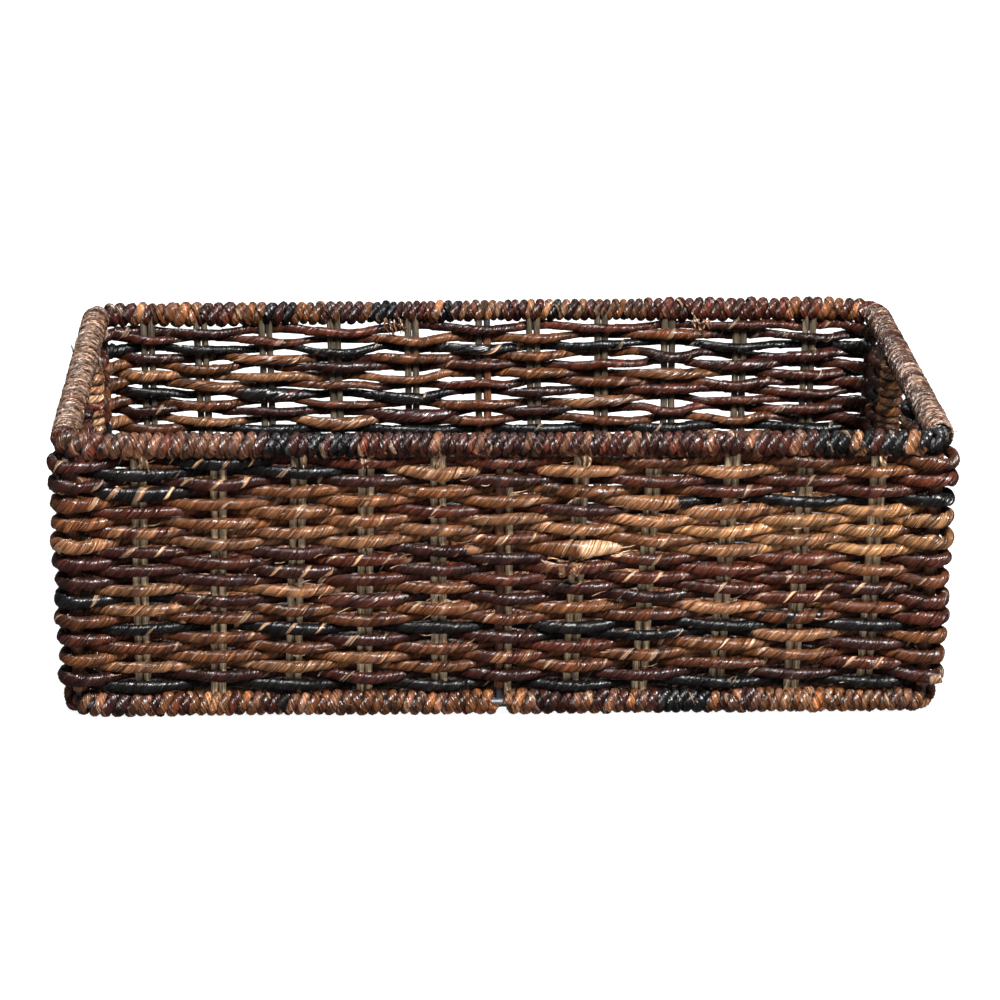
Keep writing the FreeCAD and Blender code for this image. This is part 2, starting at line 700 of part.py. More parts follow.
BINDING_CLEAR = BINDING_HALF_WIDE + dim("strand_radius") / 2 + AIR


def stub_end(points, index, level, side_x, side_y):
    """Where a strand stops against the binding of a hand opening."""
    hole_index = HOLE_PAIRS[0] if side_y < 0 else HOLE_PAIRS[1]
    stop_y = END_PAIRS[hole_index] + side_y * BINDING_CLEAR
    post = V(side_x * cane_x(level), END_PAIRS[hole_index], level)
    share = (stop_y - points[index].y) / (post.y - points[index].y)
    return points[index] + (post - points[index]) * share


def course(number):
    """A course is one strand, drawn in lengths that meet face to face at the corners, with
    shorter ones on the ends beside a hand opening."""
    level = course_level(number)
    points, crowns = woven_loop(level, number % 2)
    front_left, front_right, back_right, back_left = CORNER_STOPS
    solids = [
        span(points, crowns, front_left, front_right),
        span(points, crowns, back_right, back_left),
    ]
    if number > dim("open_courses"):
        solids.append(span(points, crowns, front_right, back_right))
        solids.append(span(points, crowns, back_left, TOTAL_STOPS))
        return solids
    for first, side_x, side_y in ((front_right, 1, -1), (back_left, -1, 1)):
        stop = stub_end(points, first + 1, level, side_x, side_y)
        solids.append(span(points, crowns, first, first + 1, last_end=stop))
    for last, side_x, side_y in ((back_right, 1, 1), (TOTAL_STOPS, -1, -1)):
        stop = stub_end(points, last - 1, level, side_x, side_y)
        solids.append(span(points, crowns, last - 1, last, first_end=stop))
    return solids


for number in range(1, int(dim("course_count")) + 1):
    nodes.append(strands("course_%02d" % number, course(number)))

# ---------------------------------------------------------------- base weave
BASE_REACH = TOP_HALF_X - dim("wall_lean") - dim("wrap_radius") - 10 * AIR
CORNER_SHORTER = 4.0                      # the first and last strands stop short of the corners


def base_strand(number, count):
    """A strand from end to end of the base, over and under the base canes."""
    spacing = 2 * dim("base_half") / (count - 1)
    y = -dim("base_half") + spacing * number
    reach = BASE_REACH
    if number in (0, count - 1):
        reach -= CORNER_SHORTER
    middles = [base_middle(index, y) for index in range(len(FRONT_PAIRS))]
    # the ends lie level, so a run there slopes half as much as one between two pairs
    runs = [2 * (middles[0] + reach)] + [b - a for a, b in zip(middles, middles[1:])]
    runs.append(2 * (reach - middles[-1]))
    points = [V(-reach, y, dim("base_level"))]
    crowns = []
    for index, x in enumerate(middles):
        kind = BAR_PAIR if index == MIDDLE else PAIR
        offset, crown = pass_over(kind, min(runs[index], runs[index + 1]))
        side = 1 if (index + number) % 2 else -1
        points.append(V(x, y, dim("base_level") + side * offset))
        crowns.append(("crown", crown))
    points.append(V(reach, y, dim("base_level")))
    return strand_solid(points, crowns)


BASE_COUNT = int(dim("base_strands"))
nodes.append(strands("base_weave", [base_strand(number, BASE_COUNT) for number in range(BASE_COUNT)]))

# ---------------------------------------------------------------- checks and files
doc.recompute()
for item in doc.Objects:
    if "Invalid" in item.State or "Error" in item.State:
        raise RuntimeError("%s did not recompute: %s" % (item.Name, item.State))
for node in nodes:
    if node.Shape.isNull() or not node.Shape.isValid():
        raise RuntimeError("%s has no valid shape" % node.Label)

os.makedirs("parts", exist_ok=True)
for node in nodes:
    node.Shape.exportStep(os.path.join("parts", node.Label + ".step"))
    print(node.Label, len(node.Shape.Solids), "solids", round(node.Shape.Volume), "mm3")
print(len(nodes), "nodes")
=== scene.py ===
"""An open woven storage basket: twisted bark strands on cane stakes and a steel frame."""

import math

import bmesh
import bpy
import numpy as np
from mathutils import Matrix, Vector


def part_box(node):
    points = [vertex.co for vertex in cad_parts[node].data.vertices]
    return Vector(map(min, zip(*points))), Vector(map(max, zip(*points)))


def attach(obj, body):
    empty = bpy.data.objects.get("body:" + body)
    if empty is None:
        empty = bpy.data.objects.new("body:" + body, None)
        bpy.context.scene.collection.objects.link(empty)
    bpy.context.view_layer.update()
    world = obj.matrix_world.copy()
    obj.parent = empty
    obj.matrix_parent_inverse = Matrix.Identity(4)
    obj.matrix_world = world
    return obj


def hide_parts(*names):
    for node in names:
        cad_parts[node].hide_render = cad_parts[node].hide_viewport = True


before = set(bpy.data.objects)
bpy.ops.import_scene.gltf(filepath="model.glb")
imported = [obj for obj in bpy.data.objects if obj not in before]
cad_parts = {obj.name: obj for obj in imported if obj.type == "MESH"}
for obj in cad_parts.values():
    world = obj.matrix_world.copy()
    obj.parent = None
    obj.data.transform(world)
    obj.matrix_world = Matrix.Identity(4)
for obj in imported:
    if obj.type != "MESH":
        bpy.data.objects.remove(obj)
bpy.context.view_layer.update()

MM = 0.001
UP = np.array([0.0, 0.0, 1.0])
BODY = "root"
TWO_PI = 2 * math.pi

# ------------------------ tints
# Names of the strands' colours, as hexadecimal sRGB
TINTS = {
    "K": "0b090a",    # blue black
    "P": "2b120d",    # purple brown
    "W": "3f1d11",    # dark red brown
    "R": "482815",    # orange red
    "B": "5a381f",    # mid brown
    "T": "704f35",    # honey
    "Y": "7d5c3c",    # pale honey
    "C": "a8896c",    # cream
    "M": "55392a",    # muted brown of the front rim
    "G": "80705a",    # grey cane
    "H": "7b695d",    # pinkish tan of the handles
    "D": "4a3a33",    # grey brown of the handles
}
# Each course's colour where it shows on the outside of the front wall, left to right: odd
# courses show at the corners and every second cane pair, even ones at the pairs between.
FRONT_TINTS = [
    "PWWWRRR", "KKPTTB", "PPPPWWW", "PBBBWW", "RBBBTKK", "WWWPTY", "BBBTTYY", "TTTTYY",
    "TTTBBTY", "WPPTTY", "PWPPWWW", "PWPWWB", "PPWWWWR", "TTBPWW", "KPPPPPW", "TBTBTR",
    "RRRRRWW", "KKKKKK", "WPPPKTB", "RRRWPP", "BBTBBBR", "TTBRRW", "PPPPPPP", "KKKKKK",
]
# The same for the inside of the back wall, as far down as its strands were picked
# Partly painted shade: besides the strands' own colours, the dark tints at the right end of some courses
# stand for the shade in the back wall's right corner.
BACK_TINTS_AND_SHADE = [
    "PPWPWWW", "WWBBRP", "KKKKKKK", "PPRBPP", "BBPWWRW", "TTBBWW", "BBRWRWW", "KKKPWW",
    "RRRRBWW", "PPPPWW", "TTRRRBW", "RKKKKK",
]
COMMON_TINTS = "KPPWWRRBBTT"                # what the other strands draw from
# Passes on the front where the strip lies wide or shows its other side, by course and cane
# pair: how plump, tint, other side's tint, and the share of the round that the other side takes.
# A share from 1 up means that the other tint takes over at that place along the pass, less 1.
LEAVES = {
    (4, 0): (1.36, "K", "C", 0.22), (8, 0): (1.05, "W", "T", 0.6), (6, 2): (1.22, "B", "T", 0.5),
    (5, 7): (1.30, "T", "K", 1.78), (6, 8): (1.25, "T", "B", 0.4), (10, 6): (1.45, "B", "C", 1.58),
    (15, 3): (1.25, "W", "P", 0.3), (17, 9): (1.05, "R", "K", 0.3), (12, 6): (1.15, "W", "T", 0.25),
    (7, 3): (1.00, "B", "C", 0.16), (3, 1): (1.05, "P", "C", 0.14), (9, 5): (1.00, "R", "C", 0.12),
    (12, 2): (1.10, "P", "C", 0.15), (13, 7): (1.05, "W", "C", 0.14), (16, 4): (1.10, "B", "C", 0.15),
    (18, 2): (1.10, "K", "C", 0.13), (20, 8): (1.10, "B", "C", 0.15), (21, 5): (1.15, "W", "T", 0.4),
    (22, 10): (1.10, "W", "C", 0.15), (14, 10): (1.05, "P", "C", 0.12), (2, 4): (1.10, "T", "C", 0.2),
    (11, 3): (1.00, "W", "C", 0.14), (15, 9): (1.00, "W", "C", 0.13), (19, 1): (1.05, "R", "T", 0.3),
    (1, 1): (1.00, "K", "C", 0.15), (1, 5): (1.00, "W", "T", 0.15), (10, 0): (1.00, "P", "C", 0.10),
}
# The same on the inside of the back wall
BACK_LEAVES = {
    (10, 4): (1.55, "P", "W", 0.2), (9, 7): (1.22, "T", "B", 0.35), (7, 1): (1.25, "B", "T", 0.3),
    (6, 8): (1.25, "B", "T", 0.3), (4, 2): (1.22, "B", "C", 0.12), (5, 9): (1.24, "P", "W", 0.3),
    (11, 3): (1.20, "T", "B", 0.3), (3, 5): (1.20, "K", "C", 0.10), (8, 2): (1.22, "K", "P", 0.3),
}


def linear(code):
    """A hexadecimal sRGB colour as linear values."""
    values = [int(code[i:i + 2], 16) / 255 for i in (0, 2, 4)]
    return np.array([v / 12.92 if v <= 0.04045 else ((v + 0.055) / 1.055) ** 2.4 for v in values])


TINT = {name: linear(code) for name, code in TINTS.items()}


# ------------------------ reading the frame
def rods(node):
    """The straight rods of a CAD node, each as the middles of its lower and its upper end."""
    mesh = bmesh.new()
    mesh.from_mesh(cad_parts[node].data)
    bmesh.ops.remove_doubles(mesh, verts=mesh.verts, dist=1e-6)
    left = set(mesh.verts)
    found = []
    while left:
        start = left.pop()
        island, edge = [start], [start]
        while edge:
            for link in edge.pop().link_edges:
                for vert in link.verts:
                    if vert in left:
                        left.discard(vert)
                        island.append(vert)
                        edge.append(vert)
        points = np.array([vert.co for vert in island])
        ends = []
        for end in (points[:, 2].min(), points[:, 2].max()):
            cap = points[abs(points[:, 2] - end) < 0.5 * MM]
            ends.append((cap.min(0) + cap.max(0)) / 2)
        found.append(tuple(ends))
    mesh.free()
    # the islands come in any order, so they are put in one that is the same in every run
    return sorted(found, key=lambda rod: 3 * rod[0][0] + rod[0][1])


def at_level(rod, level):
    """Where a rod's middle line is, at a height."""
    low, high = rod
    return low + (high - low) * ((level - low[2]) / (high[2] - low[2]))


def pairs(found, axis):
    """Rods taken two by two along an axis."""
    ordered = sorted(found, key=lambda rod: rod[0][axis])
    return [ordered[i:i + 2] for i in range(0, len(ordered), 2)]


def box(node):
    """The lowest and the highest corner of a CAD node's box."""
    low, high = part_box(node)
    return np.array(low), np.array(high)


FRONT_PAIRS = pairs(rods("front_wall_canes") + rods("front_mid_post"), 0)
BACK_PAIRS = pairs(rods("back_wall_canes") + rods("back_mid_post"), 0)
LEFT_PAIRS = pairs(rods("left_end_canes"), 1)
RIGHT_PAIRS = pairs(rods("right_end_canes"), 1)
CORNER_NAMES = ("front_left", "front_right", "back_right", "back_left")
CORNERS = [rods("corner_post_" + name)[0] for name in CORNER_NAMES]
COURSES = sorted(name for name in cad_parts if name.startswith("course_"))
OPEN_COURSES = 7                          # they stop at the hand openings
HOLE_PAIRS = (1, 4)                       # the end pairs beside the openings
# Half thicknesses
CANE = 2.4 * MM
POST = 3.2 * MM
STRAND = 3.3 * MM


# ------------------------ curves and noise
WALL_TOP = 186                            # mm, where the woven wall ends under the rim
BACK_LIFT = 3.2                           # mm


def unit(vectors):
    """Vectors of length 1 in the same directions."""
    return vectors / np.maximum(np.linalg.norm(vectors, axis=-1, keepdims=True), 1e-9)


def smooth_noise(rng, count, knots, width=None):
    """Soft noise from -1 to 1 over count steps, with a value of its own at each of the knots."""
    shape = (knots + 1,) if width is None else (knots + 1, width)
    values = rng.uniform(-1, 1, shape)
    place = np.linspace(0, knots - 1e-6, count)
    index = place.astype(int)
    share = place - index
    share = share * share * (3 - 2 * share)
    if width is not None:
        share = share[:, None]
    return values[index] * (1 - share) + values[index + 1] * share


def sway(points):
    """The slow unevenness of hand weaving: it moves neighbouring strands together, and fades
    out over 30 mm towards both rims."""
    x, y, z = points.T / MM
    high = 0.8 * np.sin(x / 61 + y / 83 + z / 37) + 0.5 * np.sin(x / 23 - y / 31 + z / 29 + 2)
    out = points.copy()
    out[:, 2] += high * MM * np.clip(z / 30, 0, 1) * np.clip((WALL_TOP - z) / 30, 0, 1)
    return lifted(out)


def lifted(points):
    """The back wall stands a little higher towards the right. All numbers are in mm."""
    x, y, z = points.T / MM
    rise = np.clip((x + 200) / 260, 0, 1) * np.clip((300 - x) / 30, 0, 1) * np.clip((y - 100) / 60, 0, 1)
    out = points.copy()
    out[:, 2] += BACK_LIFT * MM * rise * np.clip((z - 80) / 100, 0, 1) ** 2
    return out


def hermite(points, directions, closed, steps=12):
    """A smooth curve through points, leaving each in its direction."""
    count = len(points)
    t = (np.arange(steps) / steps)[:, None]
    pieces = []
    for index in range(count if closed else count - 1):
        a, b = points[index], points[(index + 1) % count]
        reach = np.linalg.norm(b - a)
        go, stop = directions[index] * reach, directions[(index + 1) % count] * reach
        pieces.append((2 * t**3 - 3 * t**2 + 1) * a + (t**3 - 2 * t**2 + t) * go
                      + (3 * t**2 - 2 * t**3) * b + (t**3 - t**2) * stop)
    if not closed:
        pieces.append(points[-1][None])
    return np.concatenate(pieces)


def sampled(at, place, values):
    """The columns of values, which are known at some places, at other places."""
    return np.stack([np.interp(at, place, column) for column in values.T], 1)


def even_steps(points, step, closed, extra=(), closing=None):
    """The curve again with even steps. extra are arrays that go with the points, and closing
    holds their values at the end of a closed curve."""
    if closed:
        points = np.vstack([points, points[:1]])
        closing = closing or [values[0] for values in extra]
        extra = [np.append(values, last) for values, last in zip(extra, closing)]
    lengths = np.linalg.norm(np.diff(points, axis=0), axis=1)
    place = np.concatenate([[0], np.cumsum(lengths)])
    count = max(4, int(round(place[-1] / step)))
    at = np.linspace(0, place[-1], count + 1)
    if closed:
        at = at[:-1]
    return sampled(at, place, points), [np.interp(at, place, values) for values in extra]


def tangents(points, closed):
    """The direction of a curve at each of its points."""
    if closed:
        return unit(np.roll(points, -1, 0) - np.roll(points, 1, 0))
    return unit(np.gradient(points, axis=0))


# ------------------------ strands as meshes
class Pile:
    """Many strands gathered into one mesh."""

    def __init__(self):
        self.points, self.faces, self.place, self.tint = [], [], [], []
        self.count = 0

    def add(self, points, faces, place, tint):
        self.points.append(points)
        self.faces.append(np.where(faces < 0, -1, faces + self.count))
        self.place.append(place)
        self.tint.append(tint)
        self.count += len(points)

    def piece(self, name, material, replaced=()):
        """One object of all the strands, riding on the basket."""
        points = np.concatenate(self.points).astype(np.float32)
        faces = np.concatenate(self.faces).astype(np.int32)
        sides = np.where(faces[:, 3] < 0, 3, 4)
        corners = faces[faces >= 0]
        mesh = bpy.data.meshes.new(name)
        mesh.vertices.add(len(points))
        mesh.vertices.foreach_set("co", points.ravel())
        mesh.loops.add(len(corners))
        mesh.loops.foreach_set("vertex_index", corners)
        mesh.polygons.add(len(faces))
        starts = np.concatenate([[0], np.cumsum(sides)[:-1]]).astype(np.int32)
        mesh.polygons.foreach_set("loop_start", starts)
        mesh.polygons.foreach_set("use_smooth", np.ones(len(faces), bool))
        mesh.update(calc_edges=True)
        place = mesh.attributes.new("place", "FLOAT_VECTOR", "POINT")
        place.data.foreach_set("vector", np.concatenate(self.place).astype(np.float32).ravel())
        tint = mesh.attributes.new("tint", "FLOAT_COLOR", "POINT")
        colours = np.concatenate(self.tint)
        colours = np.hstack([colours, np.ones((len(colours), 1))])
        tint.data.foreach_set("color", colours.astype(np.float32).ravel())
        mesh.materials.append(material)
        thing = bpy.data.objects.new(name, mesh)
        bpy.context.scene.collection.objects.link(thing)
        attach(thing, BODY)
        if replaced:
            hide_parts(*replaced)


def tube_faces(rings, sides, closed):
    """Quads round a tube, and a fan at each open end round its last two points."""
    ring = np.arange(rings if closed else rings - 1)
    side = np.arange(sides)
    a = ring[:, None] * sides + side
    b = ring[:, None] * sides + (side + 1) % sides
    c = ((ring + 1) % rings)[:, None] * sides + (side + 1) % sides
    d = ((ring + 1) % rings)[:, None] * sides + side
    faces = [np.stack([a, b, c, d], -1).reshape(-1, 4)]
    if not closed:
        first, last = rings * sides, rings * sides + 1
        none = np.full(sides, -1)
        end = (rings - 1) * sides
        faces.append(np.stack([np.full(sides, first), (side + 1) % sides, side, none], -1))
        faces.append(np.stack([np.full(sides, last), end + side, end + (side + 1) % sides, none], -1))
    return np.concatenate(faces)


def twisted(pile, rng, path, outward, radius, tint, closed=False, sides=14, lay=19 * MM,
            step=0.16, flat=1.0, crease=0.035, other=None, share_of_other=None, pace=1.0):
    """A strip of bark twisted into a strand. Its section is a snail shell, whose edge winds
    round the strand and gives the slanting seams.

    outward is the side of the strand that faces away from the basket; flat presses the strand
    on that side. lay is the length of one turn of the twist, step the height of the edge.
    other is the tint of the strip's other side, and share_of_other how much of it shows. pace
    slows the twist where the strip lies flat.
    """
    rings = len(path)
    along = tangents(path, closed)
    outward = unit(outward - along * np.sum(outward * along, 1, keepdims=True))
    upward = np.cross(outward, along)
    steps = np.linalg.norm(np.diff(path, axis=0, append=path[:1]), axis=1)
    place = np.concatenate([[0], np.cumsum(steps)[:-1]])
    length = place[-1] + steps[-1]
    wound_up = np.cumsum(steps * pace)
    turns = wound_up[-1] / lay
    if closed:
        turns = round(turns)
    spin = TWO_PI * turns * (wound_up - wound_up[0]) / wound_up[-1] + rng.uniform(0, TWO_PI)
    if not closed:
        spin = spin + 1.2 * smooth_noise(rng, rings, max(2, int(length / (45 * MM))))
    share = np.arange(sides) / (sides - 1)
    knots = max(3, int(length / (9 * MM)))
    bumps = smooth_noise(rng, rings, knots, sides)
    edge = step * (1 + 0.8 * smooth_noise(rng, rings, max(3, int(length / (14 * MM)))))
    if closed:
        fade = np.clip(np.minimum(np.arange(rings), rings - 1 - np.arange(rings)) / 8, 0, 1)
        bumps = bumps * fade[:, None]
        edge = step + (edge - step) * fade
    scale = 1 + edge[:, None] * (0.5 - share) + np.broadcast_to(crease, rings)[:, None] * bumps
    angle = spin[:, None] + TWO_PI * share
    size = radius[:, None] * scale
    flat = np.broadcast_to(flat, rings)[:, None]
    points = (path[:, None] + outward[:, None] * (size * np.cos(angle) * flat)[..., None]
              + upward[:, None] * (size * np.sin(angle))[..., None])
    points[..., 2] = points[..., 2].clip(0)         # flattened by the floor that it stands on
    round_mm = TWO_PI * radius.mean() / MM
    seed = rng.uniform(0, 1000)
    grid = np.empty((rings, sides, 3))
    grid[..., 0] = share * round_mm
    grid[..., 1] = (place / MM)[:, None]
    grid[..., 2] = seed
    # a change of colour follows the twist
    ring = np.arange(rings)[:, None] + (share * 0.4 * min(lay, 20 * MM) / steps.mean()).astype(int)
    ring = ring % rings if closed else np.minimum(ring, rings - 1)
    colours = tint[ring]
    if other is not None:
        turned = share[None] > 1 - share_of_other[:, None]
        colours = np.where(turned[..., None], other[ring], colours)
    flat_points, flat_grid = points.reshape(-1, 3), grid.reshape(-1, 3)
    flat_tint = colours.reshape(-1, 3)
    if not closed:
        flat_points = np.vstack([flat_points, path[:1], path[-1:]])
        flat_grid = np.vstack([flat_grid, [[round_mm / 2, 0, seed], [round_mm / 2, length / MM, seed]]])
        flat_tint = np.vstack([flat_tint, tint[:1], tint[-1:]])
    pile.add(flat_points, tube_faces(rings, sides, closed), flat_grid, flat_tint)


# ------------------------ courses of the walls
def wall_stops(level):
    """Every cane pair and corner post round the basket at a height, anticlockwise from the
    front left corner: (kind, middle, outward direction)."""
    stops = []

    def add(group, outward, kind):
        stops.append((kind, sum(at_level(rod, level) for rod in group) / len(group), outward))

    sides = [
        (CORNERS[0], (-1, -1), FRONT_PAIRS, (0, -1), "front"),
        (CORNERS[1], (1, -1), RIGHT_PAIRS, (1, 0), "right"),
        (CORNERS[2], (1, 1), BACK_PAIRS[::-1], (0, 1), "back"),
        (CORNERS[3], (-1, 1), LEFT_PAIRS[::-1], (-1, 0), "left"),
    ]
    for corner, corner_out, wall, wall_out, kind in sides:
        add([corner], unit(np.array([*corner_out, 0.0])), "corner")
        for group in wall:
            add(group, np.array([*wall_out, 0.0]), kind)
    return stops


def stop_tints(rng, number, stops):
    """A tint for each stop of a course: those listed, and the rest like a neighbour."""
    picked = {}
    wall = len(FRONT_PAIRS)
    front = list(range(0, wall + 2))
    back_first = wall + len(RIGHT_PAIRS) + 2
    back = list(range(back_first + wall + 1, back_first - 1, -1))
    # the back wall's tints include painted shade towards its right end
    for course_tints, places in ((FRONT_TINTS, front), (BACK_TINTS_AND_SHADE, back)):
        if number <= len(course_tints):
            shown = places[::2] if number % 2 else places[1::2]
            picked.update(zip(shown, course_tints[number - 1]))
    names = []
    for index in range(len(stops)):
        if index in picked:
            names.append(picked[index])
        elif names and rng.random() < 0.75:
            names.append(names[-1])
        elif index + 1 in picked:
            names.append(picked[index + 1])
        else:
            names.append(rng.choice(list(COMMON_TINTS)))
    return names


def course_path(level, number):
    """The middle line of a course: points, outward directions, and for each point the number of
    the stop that it is nearest to and how near it is (1 at the stop, 0 half way)."""
    stops = wall_stops(level)
    count = len(stops)
    knots, runs, outs, places = [], [], [], []
    for index, (kind, middle, outward) in enumerate(stops):
        outside = (index + number) % 2 == 1
        side = 1 if outside else -1
        run = np.cross(UP, outward)
        if kind == "corner" and outside:
            # some courses stand further off the post than others
            slack = 4.2 + 0.2 * level / 0.186 + 0.9 * math.sin(number * 2.3)
            reach = POST + STRAND + slack * MM
            for turn in (-45, 0, 45):
                spun = np.array(Matrix.Rotation(math.radians(turn), 3, "Z") @ Vector(outward))
                knots.append(middle + spun * reach)
                runs.append(np.cross(UP, spun))
                outs.append(spun)
                places.append(index + turn / 450)
        else:
            if kind == "corner":
                reach = POST + STRAND + 1.5 * MM
            else:
                reach = CANE + STRAND * pressed(kind, number)
            knots.append(middle + outward * side * reach)
            runs.append(run)
            outs.append(outward)
            places.append(index)
    curve = hermite(np.array(knots), np.array(runs), True)
    total = len(knots)
    ends = np.array(places + [count])
    outs = np.array(outs + [outs[0]])
    spot = np.arange(len(curve)) * total / len(curve)
    stop_at = np.interp(spot, np.arange(total + 1), ends)
    return curve, sampled(spot, np.arange(total + 1), outs), stop_at, stops


LOOSE_COURSES = 11                        # the back wall is looser in its upper part
COURSE_STEP = 1.3 * MM
LEAF_LENGTH = 1.3                         # in stops
WIDE_LEAF = 1.18                          # from this plumpness on, a leaf lies along its strand
HANGING_LEAF = 1.5                        # and from this one on it hangs
LEAF_SAG = 3 * MM


def fullness(kind, number, rng):
    """How plump a course's strand is on a side."""
    if kind == "corner":
        return rng.uniform(1.22, 1.48)
    if kind == "back":
        return rng.uniform(0.82, 1.28) if number <= LOOSE_COURSES else 1.26
    return 1.16 if kind == "front" else 1.12


def pressed(kind, number):
    """How far a pass stands off its canes, as a share of the strand."""
    return 0.65 if kind == "back" and number > LOOSE_COURSES else 0.88


def between_stops(stop_at, values):
    """Values of the stops round a course, blended along it."""
    return np.interp(stop_at, np.arange(-1, len(values) + 1), [values[-1], *values, values[0]])


def with_leaves(number, stop_at, path, radius, looks):
    """A course with its leaves. looks are its tint, its other side's tint, how much of that
    shows, and the pace of the twist. The path changes in place."""
    tint, other, other_share, pace = looks
    last_back = 2 * len(FRONT_PAIRS) + len(RIGHT_PAIRS) + 2
    leaves = [(key, key[1] + 1, values) for key, values in LEAVES.items()]
    leaves += [(key, last_back - key[1], values) for key, values in BACK_LEAVES.items()]
    for (leaf_course, _), middle, (gain, main_tint, other_tint, amount) in leaves:
        if leaf_course == number:
            spot = ((stop_at - middle) / LEAF_LENGTH + 0.5).clip(0, 1)
            inside = (spot > 0) & (spot < 1)
            tint = np.where(inside[:, None], TINT[main_tint], tint)
            if amount >= 1:
                tint = np.where((inside & (spot > amount - 1))[:, None], TINT[other_tint], tint)
                amount = 0
            other = np.where(inside[:, None], TINT[other_tint], other)
            leaf = np.sin(math.pi * spot) ** 0.7
            other_share = np.where(inside, amount * leaf, other_share)
            if gain > WIDE_LEAF:
                pace = 1 - 0.62 * leaf
            if gain > HANGING_LEAF:
                path[:, 2] -= LEAF_SAG * leaf
            radius = radius * (1 + (gain - 1) * leaf)
    return radius, (tint, other, other_share, pace)


def course(number):
    """One course of the walls, counted from the top: plumper at each stop and at corners."""
    name = COURSES[number - 1]
    rng = np.random.default_rng(1000 + number)
    low, high = box(name)
    level = (low[2] + high[2]) / 2
    curve, outward, stop_at, stops = course_path(level, number)
    kinds = [kind for kind, _, _ in stops]
    names = stop_tints(rng, number, stops)
    count = len(stops)
    path, (stop_at, out_x, out_y) = even_steps(
        curve, COURSE_STEP, True, [stop_at, outward[:, 0], outward[:, 1]],
        [count + stop_at[0], outward[0, 0], outward[0, 1]])
    outward = np.stack([out_x, out_y, np.zeros(len(path))], 1)
    path = sway(path)
    rings = len(path)
    path[:, 2] += 0.45 * MM * smooth_noise(rng, rings, 60) * hill(rings)
    nearest = np.round(stop_at).astype(int) % count
    near = 1 - 2 * abs(stop_at - np.round(stop_at))

    plump = rng.uniform(0.6, 1.5, count)
    full = between_stops(stop_at, [fullness(kind, number, rng) for kind in kinds])
    radius = STRAND * full * (0.96 + 0.15 * near**1.5 * plump[nearest])
    radius *= 1 + 0.07 * smooth_noise(rng, rings, 70) * hill(rings)
    bend = np.array([kind == "corner" for kind in kinds])[nearest] * near.clip(0, 1)
    radius *= 1 + 0.16 * bend * smooth_noise(rng, rings, rings // 5) * hill(rings)
    path[:, 2] += 1.1 * MM * bend * smooth_noise(rng, rings, rings // 7) * hill(rings)
    slack = [2.2 if kind == "back" and number <= LOOSE_COURSES else 0.8 for kind in kinds]
    slack = between_stops(stop_at, slack)
    path[:, 2] += slack * MM * smooth_noise(rng, rings, 2 * count) * hill(rings)
    flat = 1 - 0.28 * bend
    crease = 0.035 + 0.12 * bend

    cells = np.array([TINT[tint] * rng.uniform(0.66, 1.2) for tint in names])
    turned = cells * rng.uniform(0.45, 1.7, (count, 1))
    turned_share = rng.choice([0, 0.2, 0.4], count)
    looks = (cells[nearest], turned[nearest], turned_share[nearest], np.ones(rings))
    radius, (tint, other, other_share, pace) = with_leaves(number, stop_at, path, radius, looks)
    pile = Pile()
    parts = [(0, rings, True)] if number > OPEN_COURSES else open_parts(stop_at)
    for start, stop, closed in parts:
        index = np.arange(start, stop) % rings
        twisted(pile, rng, path[index], outward[index], radius[index], tint[index], closed,
                flat=flat[index], crease=crease[index], other=other[index],
                share_of_other=other_share[index], pace=pace[index])
    pile.piece("woven_" + name, MATERIALS["bark"], [name])


def hill(rings):
    """1, falling to 0 at both ends, so that a closed strand meets itself."""
    return np.clip(np.minimum(np.arange(rings), rings - 1 - np.arange(rings)) / 20, 0, 1)


def open_parts(stop_at):
    """The lengths of a course that the hand openings interrupt: (start, end, closed)."""
    wall, end = len(FRONT_PAIRS), len(RIGHT_PAIRS)
    right_gap = (wall + 2 + HOLE_PAIRS[0] - 0.1, wall + 2 + HOLE_PAIRS[1] + 0.1)
    left_first = 2 * wall + end + 4
    left_gap = (left_first + HOLE_PAIRS[0] - 0.1, left_first + HOLE_PAIRS[1] + 0.1)
    rings = len(stop_at)
    marks = [int(np.searchsorted(stop_at, value)) for value in (*right_gap, *left_gap)]
    return [(marks[3], rings + marks[0], False), (marks[1], marks[2], False)]


